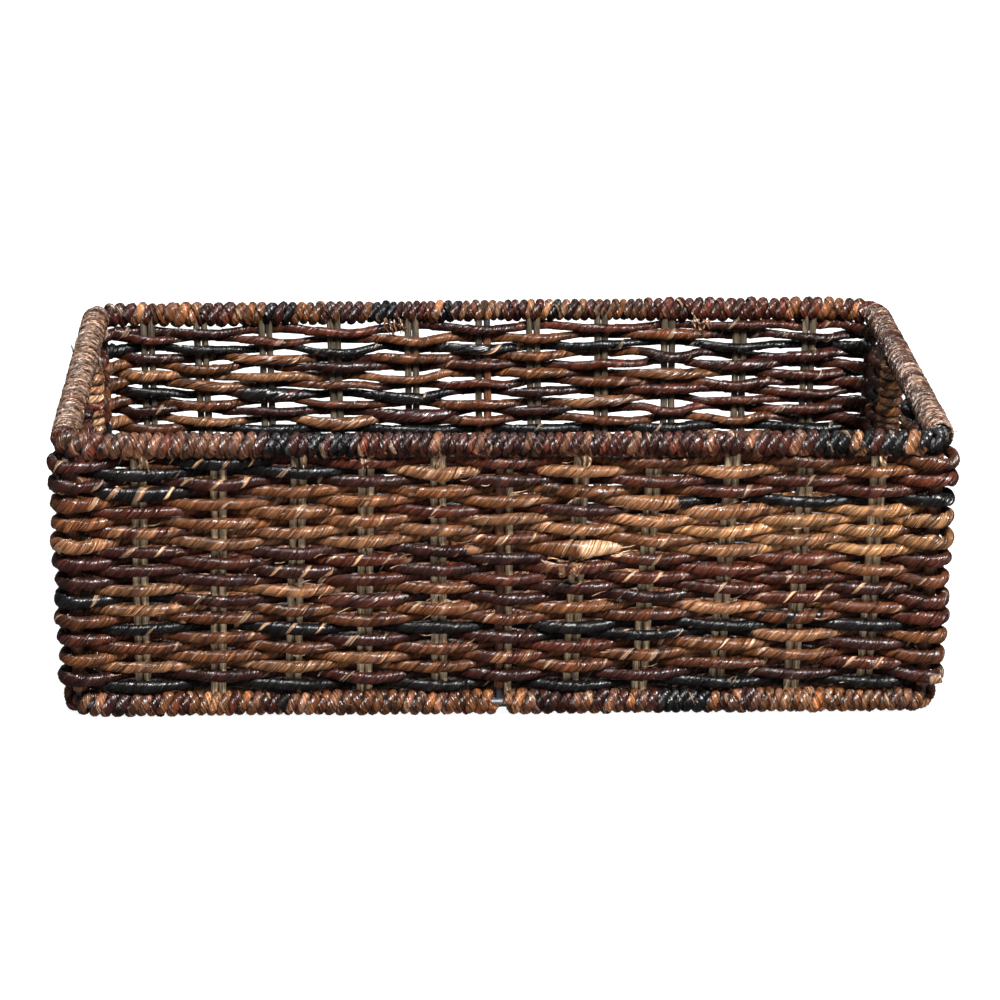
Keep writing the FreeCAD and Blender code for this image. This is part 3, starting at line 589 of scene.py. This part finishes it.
# ------------------------ materials
class Nodes:
    """Short calls for building a material's nodes."""

    def __init__(self, name):
        self.material = bpy.data.materials.new(name)
        self.material.use_nodes = True
        self.tree = self.material.node_tree
        self.shader = self.tree.nodes["Principled BSDF"]

    def make(self, kind, inputs=(), **values):
        node = self.tree.nodes.new(kind)
        for key, value in values.items():
            setattr(node, key, value)
        for socket, value in dict(inputs).items():
            self.feed(node.inputs[socket], value)
        return node

    def feed(self, socket, value):
        if isinstance(value, bpy.types.NodeSocket):
            self.tree.links.new(value, socket)
        else:
            socket.default_value = value

    def attribute(self, name, output):
        return self.make("ShaderNodeAttribute", attribute_name=name).outputs[output]

    def split(self, vector):
        return self.make("ShaderNodeSeparateXYZ", {0: vector}).outputs

    def join(self, x, y, z):
        return self.make("ShaderNodeCombineXYZ", {0: x, 1: y, 2: z}).outputs[0]

    def sum(self, operation, a, b=0.0, c=0.0):
        return self.make("ShaderNodeMath", {0: a, 1: b, 2: c}, operation=operation).outputs[0]

    def noise(self, vector, detail=2.0, roughness=0.5):
        node = self.make("ShaderNodeTexNoise", {"Vector": vector, "Scale": 1.0, "Detail": detail,
                                                "Roughness": roughness})
        return node.outputs["Fac"]

    def ramp(self, value, low, high, to_low=0.0, to_high=1.0):
        node = self.make("ShaderNodeMapRange", {0: value, 1: low, 2: high, 3: to_low, 4: to_high},
                         interpolation_type="SMOOTHSTEP")
        return node.outputs[0]

    def mix(self, share, a, b, blend="MIX"):
        node = self.make("ShaderNodeMix", data_type="RGBA", blend_type=blend)
        self.feed(node.inputs["Factor"], share)
        self.feed(node.inputs["A"], a)
        self.feed(node.inputs["B"], b)
        return node.outputs["Result"]

    def times(self, colour, gains):
        """A colour, each of its channels times a number."""
        return self.mix(1.0, colour, (*gains, 1), "MULTIPLY")

    def shaded(self, share, colour, dark, light):
        """A colour, times dark where share is 0 and times light where it is 1."""
        return self.mix(share, self.times(colour, dark), self.times(colour, light))

    def bump(self, height, distance, strength=1.0):
        node = self.make("ShaderNodeBump", {"Height": height, "Distance": distance,
                                            "Strength": strength})
        return node.outputs["Normal"]

    def finish(self, colour, roughness, normal):
        self.feed(self.shader.inputs["Base Color"], colour)
        self.feed(self.shader.inputs["Roughness"], roughness)
        self.feed(self.shader.inputs["Normal"], normal)
        self.shader.inputs["Coat Roughness"].default_value = 0.2
        return self.material


def rgba(name, gain=1.0):
    """A tint as a node's colour value."""
    return (*(TINT[name] * gain), 1.0)


def bark_material(name, stripes=1.0, coat=0.9, patches=(0.25, 0.045)):
    """Lacquered bark: fibres along the twist, pale leaves at the seam, fine dark slits. The
    mesh's place attribute holds the mm round a strand, the mm along it and a number of its own."""
    n = Nodes(name)
    around, along, seed = n.split(n.attribute("place", "Vector"))
    tint = n.attribute("tint", "Color")

    def streaks(across, down, shift, detail):
        spot = n.join(n.sum("MULTIPLY", around, across), n.sum("MULTIPLY", along, down),
                      n.sum("ADD", seed, shift))
        return n.noise(spot, detail, 0.62)

    fibre = streaks(0.95, 0.06, 0.0, 3.0)
    patch = streaks(*patches, 17.0, 2.0)
    where = n.noise(n.join(seed, n.sum("MULTIPLY", along, 0.055), 3.7), 1.0)
    width = n.ramp(where, 0.54, 0.76, -0.6, 6.5)
    wavy = n.sum("MULTIPLY_ADD", n.sum("SUBTRACT", fibre, 0.5), 2.2, around)
    stripe = n.ramp(n.sum("SUBTRACT", width, wavy), -0.15, 0.35, 0.0, stripes)
    slit = n.ramp(streaks(1.1, 0.05, 51.0, 1.0), 0.59, 0.66)
    shade = n.shaded(n.ramp(patch, 0.34, 0.66), tint, (0.55, 0.47, 0.44), (1.42, 1.36, 1.3))
    streak = n.shaded(n.ramp(fibre, 0.38, 0.62), shade, (0.48, 0.42, 0.38), (1.34, 1.30, 1.26))
    leaf = n.mix(n.ramp(streaks(0.8, 0.05, 90.0, 2.0), 0.36, 0.62, 0.1, 0.75), streak, rgba("C", 0.9))
    striped = n.mix(stripe, streak, leaf)
    colour = n.mix(slit, striped, n.times(striped, (0.16, 0.12, 0.1)))
    rough = n.ramp(fibre, 0.3, 0.7, 0.55, 0.4)
    n.shader.inputs["Specular IOR Level"].default_value = 0.05
    wrinkle = streaks(0.85, 0.07, 33.0, 0.8)
    height = n.sum("SUBTRACT", wrinkle, n.sum("MULTIPLY", slit, 0.5))
    normal = n.bump(height, 1.9 * MM)
    n.feed(n.shader.inputs["Coat Normal"], normal)
    n.shader.inputs["Coat IOR"].default_value = 1.45
    gloss = n.ramp(streaks(0.12, 0.06, 71.0, 1.0), 0.38, 0.62, 0.35 * coat, 1.25 * coat)
    n.feed(n.shader.inputs["Coat Weight"], gloss)
    return n.finish(colour, rough, normal)


def cane_material():
    """Peeled cane gone grey, with fine lines along it."""
    n = Nodes("cane")
    around, along, seed = n.split(n.attribute("place", "Vector"))
    tint = n.attribute("tint", "Color")
    lines = n.noise(n.join(n.sum("MULTIPLY", around, 1.3), n.sum("MULTIPLY", along, 0.04), seed), 3.0, 0.6)
    patch = n.noise(n.join(n.sum("MULTIPLY", around, 0.2), n.sum("MULTIPLY", along, 0.06), seed), 2.0)
    shade = n.shaded(n.ramp(patch, 0.3, 0.7), tint, (0.62, 0.60, 0.56), (1.25, 1.22, 1.15))
    colour = n.shaded(n.ramp(lines, 0.4, 0.6), shade, (0.38, 0.35, 0.32), (1.2, 1.2, 1.2))
    normal = n.bump(lines, 0.8 * MM)
    return n.finish(colour, n.ramp(lines, 0.3, 0.7, 0.42, 0.6), normal)


def steel_material():
    """Dark painted steel, a little worn."""
    n = Nodes("steel")
    spot = n.make("ShaderNodeTexCoord").outputs["Object"]
    grain = n.noise(n.make("ShaderNodeVectorMath", {0: spot, 1: (420, 420, 420)},
                           operation="MULTIPLY").outputs[0], 4.0, 0.6)
    colour = n.mix(n.ramp(grain, 0.55, 0.75), (0.014, 0.016, 0.02, 1), (0.05, 0.045, 0.04, 1))
    return n.finish(colour, n.ramp(grain, 0.3, 0.7, 0.35, 0.6), n.bump(grain, 0.1 * MM, 0.5))


MATERIALS = {
    "bark": bark_material("bark"),
    "coil": bark_material("coil", stripes=0.8, patches=(0.35, 0.11)),
    "twine": bark_material("twine", stripes=0.6, coat=0.6, patches=(0.4, 0.13)),
    "cane": cane_material(),
    "steel": steel_material(),
}


# ------------------------ canes
# Painted light: a gain on each wall's grey cane tint, standing in for how light falls on each wall. The
# front wall is lighter, and the shaded inside of the back wall is much darker.
CANE_PAINTED_LIGHT = {"front_wall_canes": 1.7, "back_wall_canes": 0.34, "left_end_canes": 0.8,
               "right_end_canes": 0.8}


def wobbly_rod(pile, rng, rod, radius, tint, sides=10):
    """A rod that isn't quite straight or even."""
    low, high = rod
    length = np.linalg.norm(high - low)
    rings = max(6, int(length / (4 * MM)))
    share = np.linspace(0, 1, rings)[:, None]
    path = low + (high - low) * share
    path[:, :2] += 0.35 * MM * smooth_noise(rng, rings, 6, 2) * np.sin(math.pi * share)
    outward = np.tile([0.0, -1.0, 0.0], (rings, 1))
    size = radius * (1 + 0.05 * smooth_noise(rng, rings, 9))
    tints = np.repeat(tint[None], rings, 0)
    twisted(pile, rng, path, outward, size, tints, sides=sides, lay=length * 4 + 1, step=0.02, crease=0.05)


def canes():
    """The upright canes of the four walls."""
    for name, shade in CANE_PAINTED_LIGHT.items():
        rng = np.random.default_rng(len(name) * 7)
        pile = Pile()
        found = rods(name)
        top = max(high[2] for _, high in found)
        for rod in found:
            # painted light: the grey cane tint times its wall's gain for light and shade
            tint = TINT["G"] * rng.uniform(0.8, 1.15) * shade
            if name == "back_wall_canes":         # they all end inside the lifted rim
                rod = (rod[0], at_level(rod, top - 3 * MM))
            wobbly_rod(pile, rng, rod, CANE * 1.12, tint)
        pile.piece(name + "_look", MATERIALS["cane"], [name])


# ------------------------ wrapped rims
# How the strands are wound: how far one turn goes on, its half width and its half thickness
TOP_COIL = (7.2 * MM, 3.45 * MM, 3.3 * MM)
FOOT_COIL = (7.2 * MM, 3.5 * MM, 3.0 * MM)
BORDER_COIL = (6.6 * MM, 3.3 * MM, 3.0 * MM)
HANDLE_COIL = (1.8 * MM, 1.15 * MM, 0.95 * MM)
POINTS_PER_TURN = 20


def rim_line(node_front, node_corner):
    """The middle line of a rim: half sizes, corner radius, height and the wrap's radius."""
    low, high = box(node_front)
    _, all_high = box(node_corner)
    radius = (high[1] - low[1]) / 2
    half_x = all_high[0] - radius
    half_y = all_high[1] - radius
    bend = half_x - high[0]
    return half_x, half_y, bend, high[2] - radius, radius


def rim_curve(rim):
    """Points round a rim, anticlockwise from the middle of the front, with the direction out."""
    half_x, half_y, bend, level, _ = rim
    points, outs = [(0, -half_y)], [(0, -1)]
    corners = [(1, -1, -90), (1, 1, 0), (-1, 1, 90), (-1, -1, 180)]
    for side_x, side_y, first in corners:
        middle = np.array([side_x * (half_x - bend), side_y * (half_y - bend)])
        for turn in np.radians(np.linspace(first, first + 90, 13)):
            out = np.array([math.cos(turn), math.sin(turn)])
            points.append(middle + bend * out)
            outs.append(out)
    points, outs = np.array(points), np.array(outs)
    points = np.hstack([points, np.full((len(points), 1), level)])
    path, (out_x, out_y) = even_steps(points, 2 * MM, True, [outs[:, 0], outs[:, 1]])
    return path, unit(np.stack([out_x, out_y, np.zeros(len(path))], 1))


def wound(pile, rng, line, outward, coil, radius, tints, slant, uneven, sides=10, lay=16 * MM,
          ends_wider=0.0):
    """A strand wound round a line. tints gives a tint name at each share of the way along.
    slant leans the turns, uneven varies their widths, and ends_wider widens them at both ends."""
    pitch, across, thick = coil
    along = tangents(line, False)
    steps = np.linalg.norm(np.diff(line, axis=0), axis=1)
    place = np.concatenate([[0], np.cumsum(steps)])
    turns = max(2, int(round(place[-1] / pitch)))
    widths = 1 + uneven * rng.uniform(-1, 1, turns)
    widths *= 1 + ends_wider * np.cos(TWO_PI * np.arange(turns) / turns)
    marks = np.concatenate([[0], np.cumsum(widths)]) / widths.sum() * place[-1]
    phase = np.arange(turns * POINTS_PER_TURN + 1) / POINTS_PER_TURN
    turn = np.minimum(phase.astype(int), turns - 1)
    angle = TWO_PI * phase
    at = np.interp(phase, np.arange(turns + 1), marks) + slant * np.sin(angle)
    at = np.clip(at, 0, place[-1])
    out = unit(sampled(at, place, outward))
    rise = np.cross(out, unit(sampled(at, place, along)))
    puff = 1 + 0.05 * rng.uniform(-1, 1, turns + 1)
    size = (radius - thick) * np.interp(phase, np.arange(turns + 1), puff)
    radial = out * np.cos(angle)[:, None] + rise * np.sin(angle)[:, None]
    path = sampled(at, place, line) + radial * size[:, None]
    wide = across * np.interp(phase, np.arange(turns) + 0.5, widths)
    wide = wide * (1 + 0.10 * smooth_noise(rng, len(path), turns * 2))
    names = [tints(mark / place[-1], rng) for mark in marks]
    colours = np.array([TINT[name] * rng.uniform(0.75, 1.25) for name in names])
    gains = rng.choice([0.4, 0.6, 1.6, 2.2], len(colours))
    tint = colours[turn]
    twisted(pile, rng, path, radial, wide, tint, sides=sides, lay=lay, step=0.22, flat=thick / across,
            other=tint * gains[turn, None], share_of_other=np.full(len(path), 0.35))


def pick(*spans):
    """A choice of tints along a line: (up to this share, tint names)."""
    def choose(share, rng):
        for limit, names in spans:
            if share <= limit:
                return rng.choice(list(names))
        return rng.choice(list(spans[-1][1]))
    return choose


def part_of(line, outward, test):
    """The stretch of a closed line where test holds, in one run."""
    keep = np.array([test(point) for point in line])
    start = int(np.argmax(keep & ~np.roll(keep, 1)))
    index = (start + np.arange(int(keep.sum()))) % len(line)
    return line[index], outward[index]


TOP_RIM = rim_line("front_rim_wrap", "top_corner_wraps")
FOOT_RIM = rim_line("front_base_wrap", "base_corner_wraps")


def wrap(name, seed, rim, lengths, coil, radius, slant, uneven, corners=(),
         looks=("_coil", "rim_strand", "coil"), **more):
    """One wrap of a rim, as a strand wound along each of its lengths: (where it is, tints)."""
    rng = np.random.default_rng(seed)
    pile = Pile()
    for test, tints in lengths:
        part, out = part_of(*rim, test)
        wound(pile, rng, part, out, coil, radius, tints, slant, uneven, **more)
    suffix, slot, material = looks
    pile.piece(name + suffix, MATERIALS[material], [name, *corners])


def top_rim():
    """The top's wraps: a thick strand on the long sides, fine twine on the short ends."""
    line, outward = rim_curve(TOP_RIM)
    rim = (lifted(line), outward)
    _, half_y, bend, _, radius = TOP_RIM
    reach, front_reach = half_y - bend * 0.35, half_y - bend * 0.95      # where the twine ends
    front = [(lambda p: p[1] < -front_reach, pick(
        (0.22, "MMWMM"), (0.33, "KKPT"), (0.66, "WPPMW"), (0.82, "MWPPW"), (1.0, "KKKPT")))]
    back = [(lambda p: p[1] > reach, pick(
        (0.14, "WBW"), (0.28, "WWP"), (0.36, "RRB"), (0.6, "KPWT"), (0.82, "KPBP"), (1.0, "BTWP")))]
    wrap("front_rim_wrap", 50, rim, front, TOP_COIL, radius, 1.2 * MM, 0.2, ["top_corner_wraps"],
         ends_wider=0.14)
    wrap("back_rim_wrap", 51, rim, back, TOP_COIL, radius, -1.2 * MM, 0.2, ends_wider=0.14)
    for number, (side, sign, names) in enumerate((("left", -1, "HHHDHB"), ("right", 1, "HDWDHD"))):
        lengths = [(lambda p: p[0] * sign > 0 and -front_reach <= p[1] <= reach, pick((1.0, names)))]
        wrap(side + "_handle_wrap", 60 + number, rim, lengths, HANDLE_COIL, radius + 0.5 * MM, 1.6 * MM,
             0.5, looks=("_twine", "handle_twine", "twine"), sides=7, lay=14 * MM)


def foot_rim():
    """The bottom's wraps. The front one leaves the rod bare for a few mm by the middle post."""
    rim = rim_curve(FOOT_RIM)
    _, half_y, bend, _, radius = FOOT_RIM
    reach = half_y - bend * 0.5
    end_tints = pick((1.0, "BWPRT"))
    wraps = (
        ("front_base_wrap", ["base_corner_wraps"], [
            (lambda p: p[1] < -reach and p[0] < -5 * MM,
             pick((0.2, "PPMP"), (0.4, "WTBM"), (0.5, "PWKM"), (1.0, "BMRB"))),
            (lambda p: p[1] < -reach and p[0] > 0.5 * MM,
             pick((0.1, "BPMT"), (0.34, "PMPB"), (0.47, "KKPT"), (0.6, "PMBM"), (0.8, "MBTB"),
                  (1.0, "TBTM"))),
        ]),
        ("back_base_wrap", [], [(lambda p: p[1] > reach, pick((1.0, "BWPKR")))]),
        ("left_base_wrap", [], [(lambda p: p[0] < 0 and abs(p[1]) <= reach, end_tints)]),
        ("right_base_wrap", [], [(lambda p: p[0] > 0 and abs(p[1]) <= reach, end_tints)]),
    )
    for number, (name, corners, lengths) in enumerate(wraps):
        wrap(name, 70 + number, rim, lengths, FOOT_COIL, radius, 1.2 * MM, 0.2, corners)


# ------------------------ hand opening borders
def borders():
    """The strands bound round the cane pairs beside the hand openings."""
    for side, wall in (("left", LEFT_PAIRS), ("right", RIGHT_PAIRS)):
        node = side + "_opening_binding"
        low, high = box(node)
        pile = Pile()
        for number, index in enumerate(HOLE_PAIRS):
            rng = np.random.default_rng(80 + number + (5 if side == "left" else 0))
            group = wall[index]
            start = sum(at_level(rod, low[2]) for rod in group) / 2
            end = sum(at_level(rod, high[2] + 2 * MM) for rod in group) / 2
            line = np.linspace(start, end, 12)
            outward = np.tile([0.0, 1.0, 0.0], (12, 1))
            names = "KPPK" if number == 0 else {"left": "TBCWT", "right": "TTCBT"}[side]
            wound(pile, rng, line, outward, BORDER_COIL, 9.2 * MM, pick((1.0, names)), 1.0 * MM, 0.3)
        pile.piece(node + "_coil", MATERIALS["coil"], [node])


# ------------------------ frayed ends
def sliver(pile, rng, start, reach, tint, wide, sag):
    """A thin loose strip of bark that tapers to its tip and sags to a side, in mm."""
    start, reach = np.array(start) * MM, np.array(reach) * MM
    share = np.linspace(0, 1, 14)[:, None]
    side = np.cross(unit(reach), rng.normal(size=3))
    path = start + reach * share + side * sag * MM * np.sin(math.pi * share)
    size = wide * MM * (1 - 0.75 * share[:, 0] ** 2)
    twisted(pile, rng, path, np.tile([0.0, -1.0, 0.0], (14, 1)), size, np.repeat(tint[None], 14, 0),
            sides=7, lay=9 * MM, flat=0.45)


def stub(pile, rng, start, end, radius, tint, origin=0.0, outward=(0.0, 0.0, 1.0)):
    """A strand's cut end, from start to end. All but origin is in mm."""
    path = origin + np.linspace(start, end, 12) * MM
    twisted(pile, rng, path, np.tile(outward, (12, 1)), np.full(12, radius * MM),
            np.repeat(tint[None], 12, 0), lay=12 * MM)


def frays():
    """Split ends at the rims, the torn leaf and the handles, cut ends, and loose fibres all over
    the front wall. Places are in mm."""
    rng = np.random.default_rng(120)
    pile = Pile()
    uniform = rng.uniform
    cream = TINT["C"]
    for x in (-244, -240, -135, -97, -91, -43, 52, 56, 253, 257):
        tint = cream * uniform(0.5, 0.9)
        sliver(pile, rng, (x, -172.5, 187), (uniform(-3, 3), -1.5, -uniform(6, 10)), tint, 1.1, 1.0)
    for _ in range(9):
        start = (uniform(70, 78), -179, 119 + uniform(-2.5, 2.5))
        sliver(pile, rng, start, (uniform(7, 13), -0.8, uniform(-2, 3)), cream, 0.5, 0.8)
    for _ in range(4):
        start = (uniform(24, 32), -178.5, 116 + uniform(-1.5, 1.5))
        sliver(pile, rng, start, (uniform(8, 13), -1, -uniform(2, 4)), cream * 0.8, 0.5, 0.8)
    stub(pile, rng, [47.0, -171.0, 108.0], [47.0, -181.0, 107.0], 3.4, TINT["T"] * 1.15)
    stub(pile, rng, [38.0, -173.0, 108.0], [38.5, -180.0, 105.0], 2.4, TINT["T"])
    for _ in range(14):
        start = (uniform(285, 297), uniform(-165, -150), 200)
        sliver(pile, rng, start, uniform((-6, -6, 0), (6, 6, 6)), TINT["R"] * 1.2, 0.45, 1.0)
    middle_post = FRONT_PAIRS[len(FRONT_PAIRS) // 2][0]
    for _ in range(90):
        level = uniform(22, 184)
        front = at_level(middle_post, level * MM)[1] / MM - 7.6
        start = (uniform(-282, 276), front, level)
        reach = (uniform(5, 12), -0.6, uniform(1, 5))
        sliver(pile, rng, start, reach, cream * uniform(0.4, 1.0), 0.4, 0.8)
    for middle, tint in ((-76, "B"), (159, "T"), (-70, "P")):
        for _ in range(9):
            start = (middle + uniform(-6, 6), uniform(158.5, 161), 190 + uniform(-3, 5))
            reach = (uniform(-2, 7), -1, -uniform(5, 11))
            sliver(pile, rng, start, reach, TINT[tint] * uniform(0.7, 1.8), 0.7, 1.2)
    sliver(pile, rng, (298, -166, 194), (9, -4, 7), cream * 0.6, 0.5, 1.5)
    sliver(pile, rng, (-288, 74, 198), (5, -26, -16), cream * 0.7, 0.9, 4.0)
    sliver(pile, rng, (-286, 58, 192), (3, -6, -38), TINT["H"] * 0.6, 1.3, 2.5)
    sliver(pile, rng, (-303, 62, 190), (-4, 1, 10), TINT["K"], 1.2, 0.5)
    knot = at_level(CORNERS[1], 26 * MM) + unit(np.array([0.5, -1.0, 0.0])) * 14 * MM
    stub(pile, rng, [-4.0, 0.0, 0.0], [4.5, 1.5, 0.5], 3.6, cream * 0.6, knot, (0.0, -1.0, 0.0))
    pile.piece("frayed_ends", MATERIALS["bark"])


# ------------------------ posts and base
BASE_STRANDS = 43


def posts():
    """The bark round the corner posts and the middle posts."""
    for name, radius in (("corner_post_bark", POST * 1.45), ("mid_post_bark", POST)):
        rng = np.random.default_rng(90)
        pile = Pile()
        for rod in rods(name):
            wobbly_rod(pile, rng, rod, radius, TINT["R"] * 1.9, sides=12)
        pile.piece(name + "_look", MATERIALS["cane"], [name])


def steel():
    """The steel rods keep their CAD shapes."""
    names = ["top_ring_rod", "bottom_ring_rod", "front_mid_post", "back_mid_post", "base_cross_bar"]
    for name in names + ["corner_post_" + corner for corner in CORNER_NAMES]:
        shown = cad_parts[name]
        shown.data.materials.clear()
        shown.data.materials.append(MATERIALS["steel"])


def base():
    """The base: strands over and under the base canes."""
    rng = np.random.default_rng(95)
    low, high = box("base_canes")
    level = (low[2] + high[2]) / 2
    weave_low, weave_high = box("base_weave")
    pile = Pile()
    stations = []
    for front, back in zip(FRONT_PAIRS, BACK_PAIRS):
        a = sum(at_level(rod, level) for rod in front) / 2
        b = sum(at_level(rod, level) for rod in back) / 2
        stations.append((a, b))
        for rod_a, rod_b in zip(front, back):
            first, last = at_level(rod_a, level), at_level(rod_b, level)
            first[1], last[1] = low[1], high[1]
            share = np.linspace(0, 1, 40)[:, None]
            path = first + (last - first) * share
            twisted(pile, rng, path, np.tile(-UP, (40, 1)), np.full(40, CANE), np.repeat(
                TINT["G"][None] * rng.uniform(0.75, 1.0), 40, 0), sides=8, lay=2.0, step=0.02)
    pile.piece("base_canes_look", MATERIALS["cane"], ["base_canes"])
    pile = Pile()
    span = weave_high[1] - weave_low[1] - 2 * STRAND
    for number in range(BASE_STRANDS):
        y = weave_low[1] + STRAND + span * number / (BASE_STRANDS - 1)
        knots = [np.array([weave_low[0], y, level])]
        for index, (a, b) in enumerate(stations):
            share = (y - a[1]) / (b[1] - a[1])
            side = 1 if (index + number) % 2 else -1
            height = level + side * (CANE + STRAND * 0.93)
            knots.append(np.array([(a + (b - a) * share)[0], y, height]))
        knots.append(np.array([weave_high[0], y, level]))
        knots = np.array(knots)
        curve = hermite(knots, np.tile([1.0, 0, 0], (len(knots), 1)), False)
        path, _ = even_steps(curve, 2.2 * MM, False)
        rings = len(path)
        path[:, 1] += 0.5 * MM * smooth_noise(rng, rings, 14)
        names = [rng.choice(list(COMMON_TINTS)) for _ in range(4)]
        cells = np.array([TINT[name] * rng.uniform(0.8, 1.2) for name in names])
        tint = cells[np.minimum((np.arange(rings) * 4 / rings).astype(int), 3)]
        radius = STRAND * (1.06 + 0.07 * smooth_noise(rng, rings, 20))
        twisted(pile, rng, path, np.tile(-UP, (rings, 1)), radius, tint, sides=10)
    pile.piece("base_weave_look", MATERIALS["bark"], ["base_weave"])


# ------------------------ room, light and camera
def room():
    """A pale floor that glows a little, and a dim white world."""
    mesh = bpy.data.meshes.new("floor")
    reach = 45.0                          # m, so that no view sees its edge
    mesh.from_pydata([(-reach, -reach, 0), (reach, -reach, 0), (reach, reach, 0), (-reach, reach, 0)],
                     [], [(0, 1, 2, 3)])
    floor = bpy.data.objects.new("floor", mesh)
    bpy.context.scene.collection.objects.link(floor)
    n = Nodes("pale_floor")
    n.shader.inputs["Base Color"].default_value = (0.3, 0.3, 0.3, 1)
    n.shader.inputs["Roughness"].default_value = 0.9
    n.shader.inputs["Specular IOR Level"].default_value = 0.1
    n.shader.inputs["Emission Color"].default_value = (1, 1, 1, 1)
    n.shader.inputs["Emission Strength"].default_value = 0.92
    mesh.materials.append(n.material)
    floor.visible_glossy = False          # the lacquer would turn grey with its reflection

    world = bpy.data.worlds.new("studio")
    bpy.context.scene.world = world
    world.use_nodes = True
    world.node_tree.nodes["Background"].inputs["Color"].default_value = (1, 1, 1, 1)
    world.node_tree.nodes["Background"].inputs["Strength"].default_value = 0.2


def area_light(name, place, target, size, power):
    """A rectangular lamp that looks at target."""
    data = bpy.data.lights.new(name, "AREA")
    data.shape = "RECTANGLE"
    data.size, data.size_y = size
    data.energy = power
    light = bpy.data.objects.new(name, data)
    bpy.context.scene.collection.objects.link(light)
    light.location = place
    light.rotation_euler = (Vector(target) - Vector(place)).to_track_quat("-Z", "Y").to_euler()
    return light


def lights():
    """A key light in front, a lamp that only adds to the gloss, and a weak one behind."""
    area_light("key", (0.6, -1.45, 1.95), (0.03, 0, 0.1), (0.7, 0.55), 204)
    glint = area_light("glint", (0.1, -1.1, 2.25), (0, 0, 0.1), (1.4, 0.4), 165)
    glint.visible_diffuse = False
    area_light("top", (-0.4, 0.8, 2.2), (0, 0, 0.1), (1.6, 0.8), 34)


def camera():
    """The camera, where the perspective fit to the basket's outline puts the photo's."""
    data = bpy.data.cameras.new("camera")
    data.lens = 129.6
    data.sensor_width = 36.0
    data.clip_end = 50.0
    thing = bpy.data.objects.new("camera", data)
    bpy.context.scene.collection.objects.link(thing)
    yaw, pitch, roll = math.radians(2.35), math.radians(17.93), math.radians(0.47)
    turn = Matrix.Rotation(-yaw, 3, "Z") @ Matrix.Rotation(math.pi / 2 - pitch, 3, "X")
    turn = turn @ Matrix.Rotation(roll, 3, "Z")
    thing.matrix_world = Matrix.Translation((-0.098, -2.473, 0.901)) @ turn.to_4x4()
    bpy.context.scene.camera = thing
    bpy.context.scene.view_settings.view_transform = "Standard"


# ------------------------ the basket
for number in range(1, len(COURSES) + 1):
    course(number)
canes()
top_rim()
foot_rim()
borders()
frays()
posts()
base()
steel()

room()
lights()
camera()
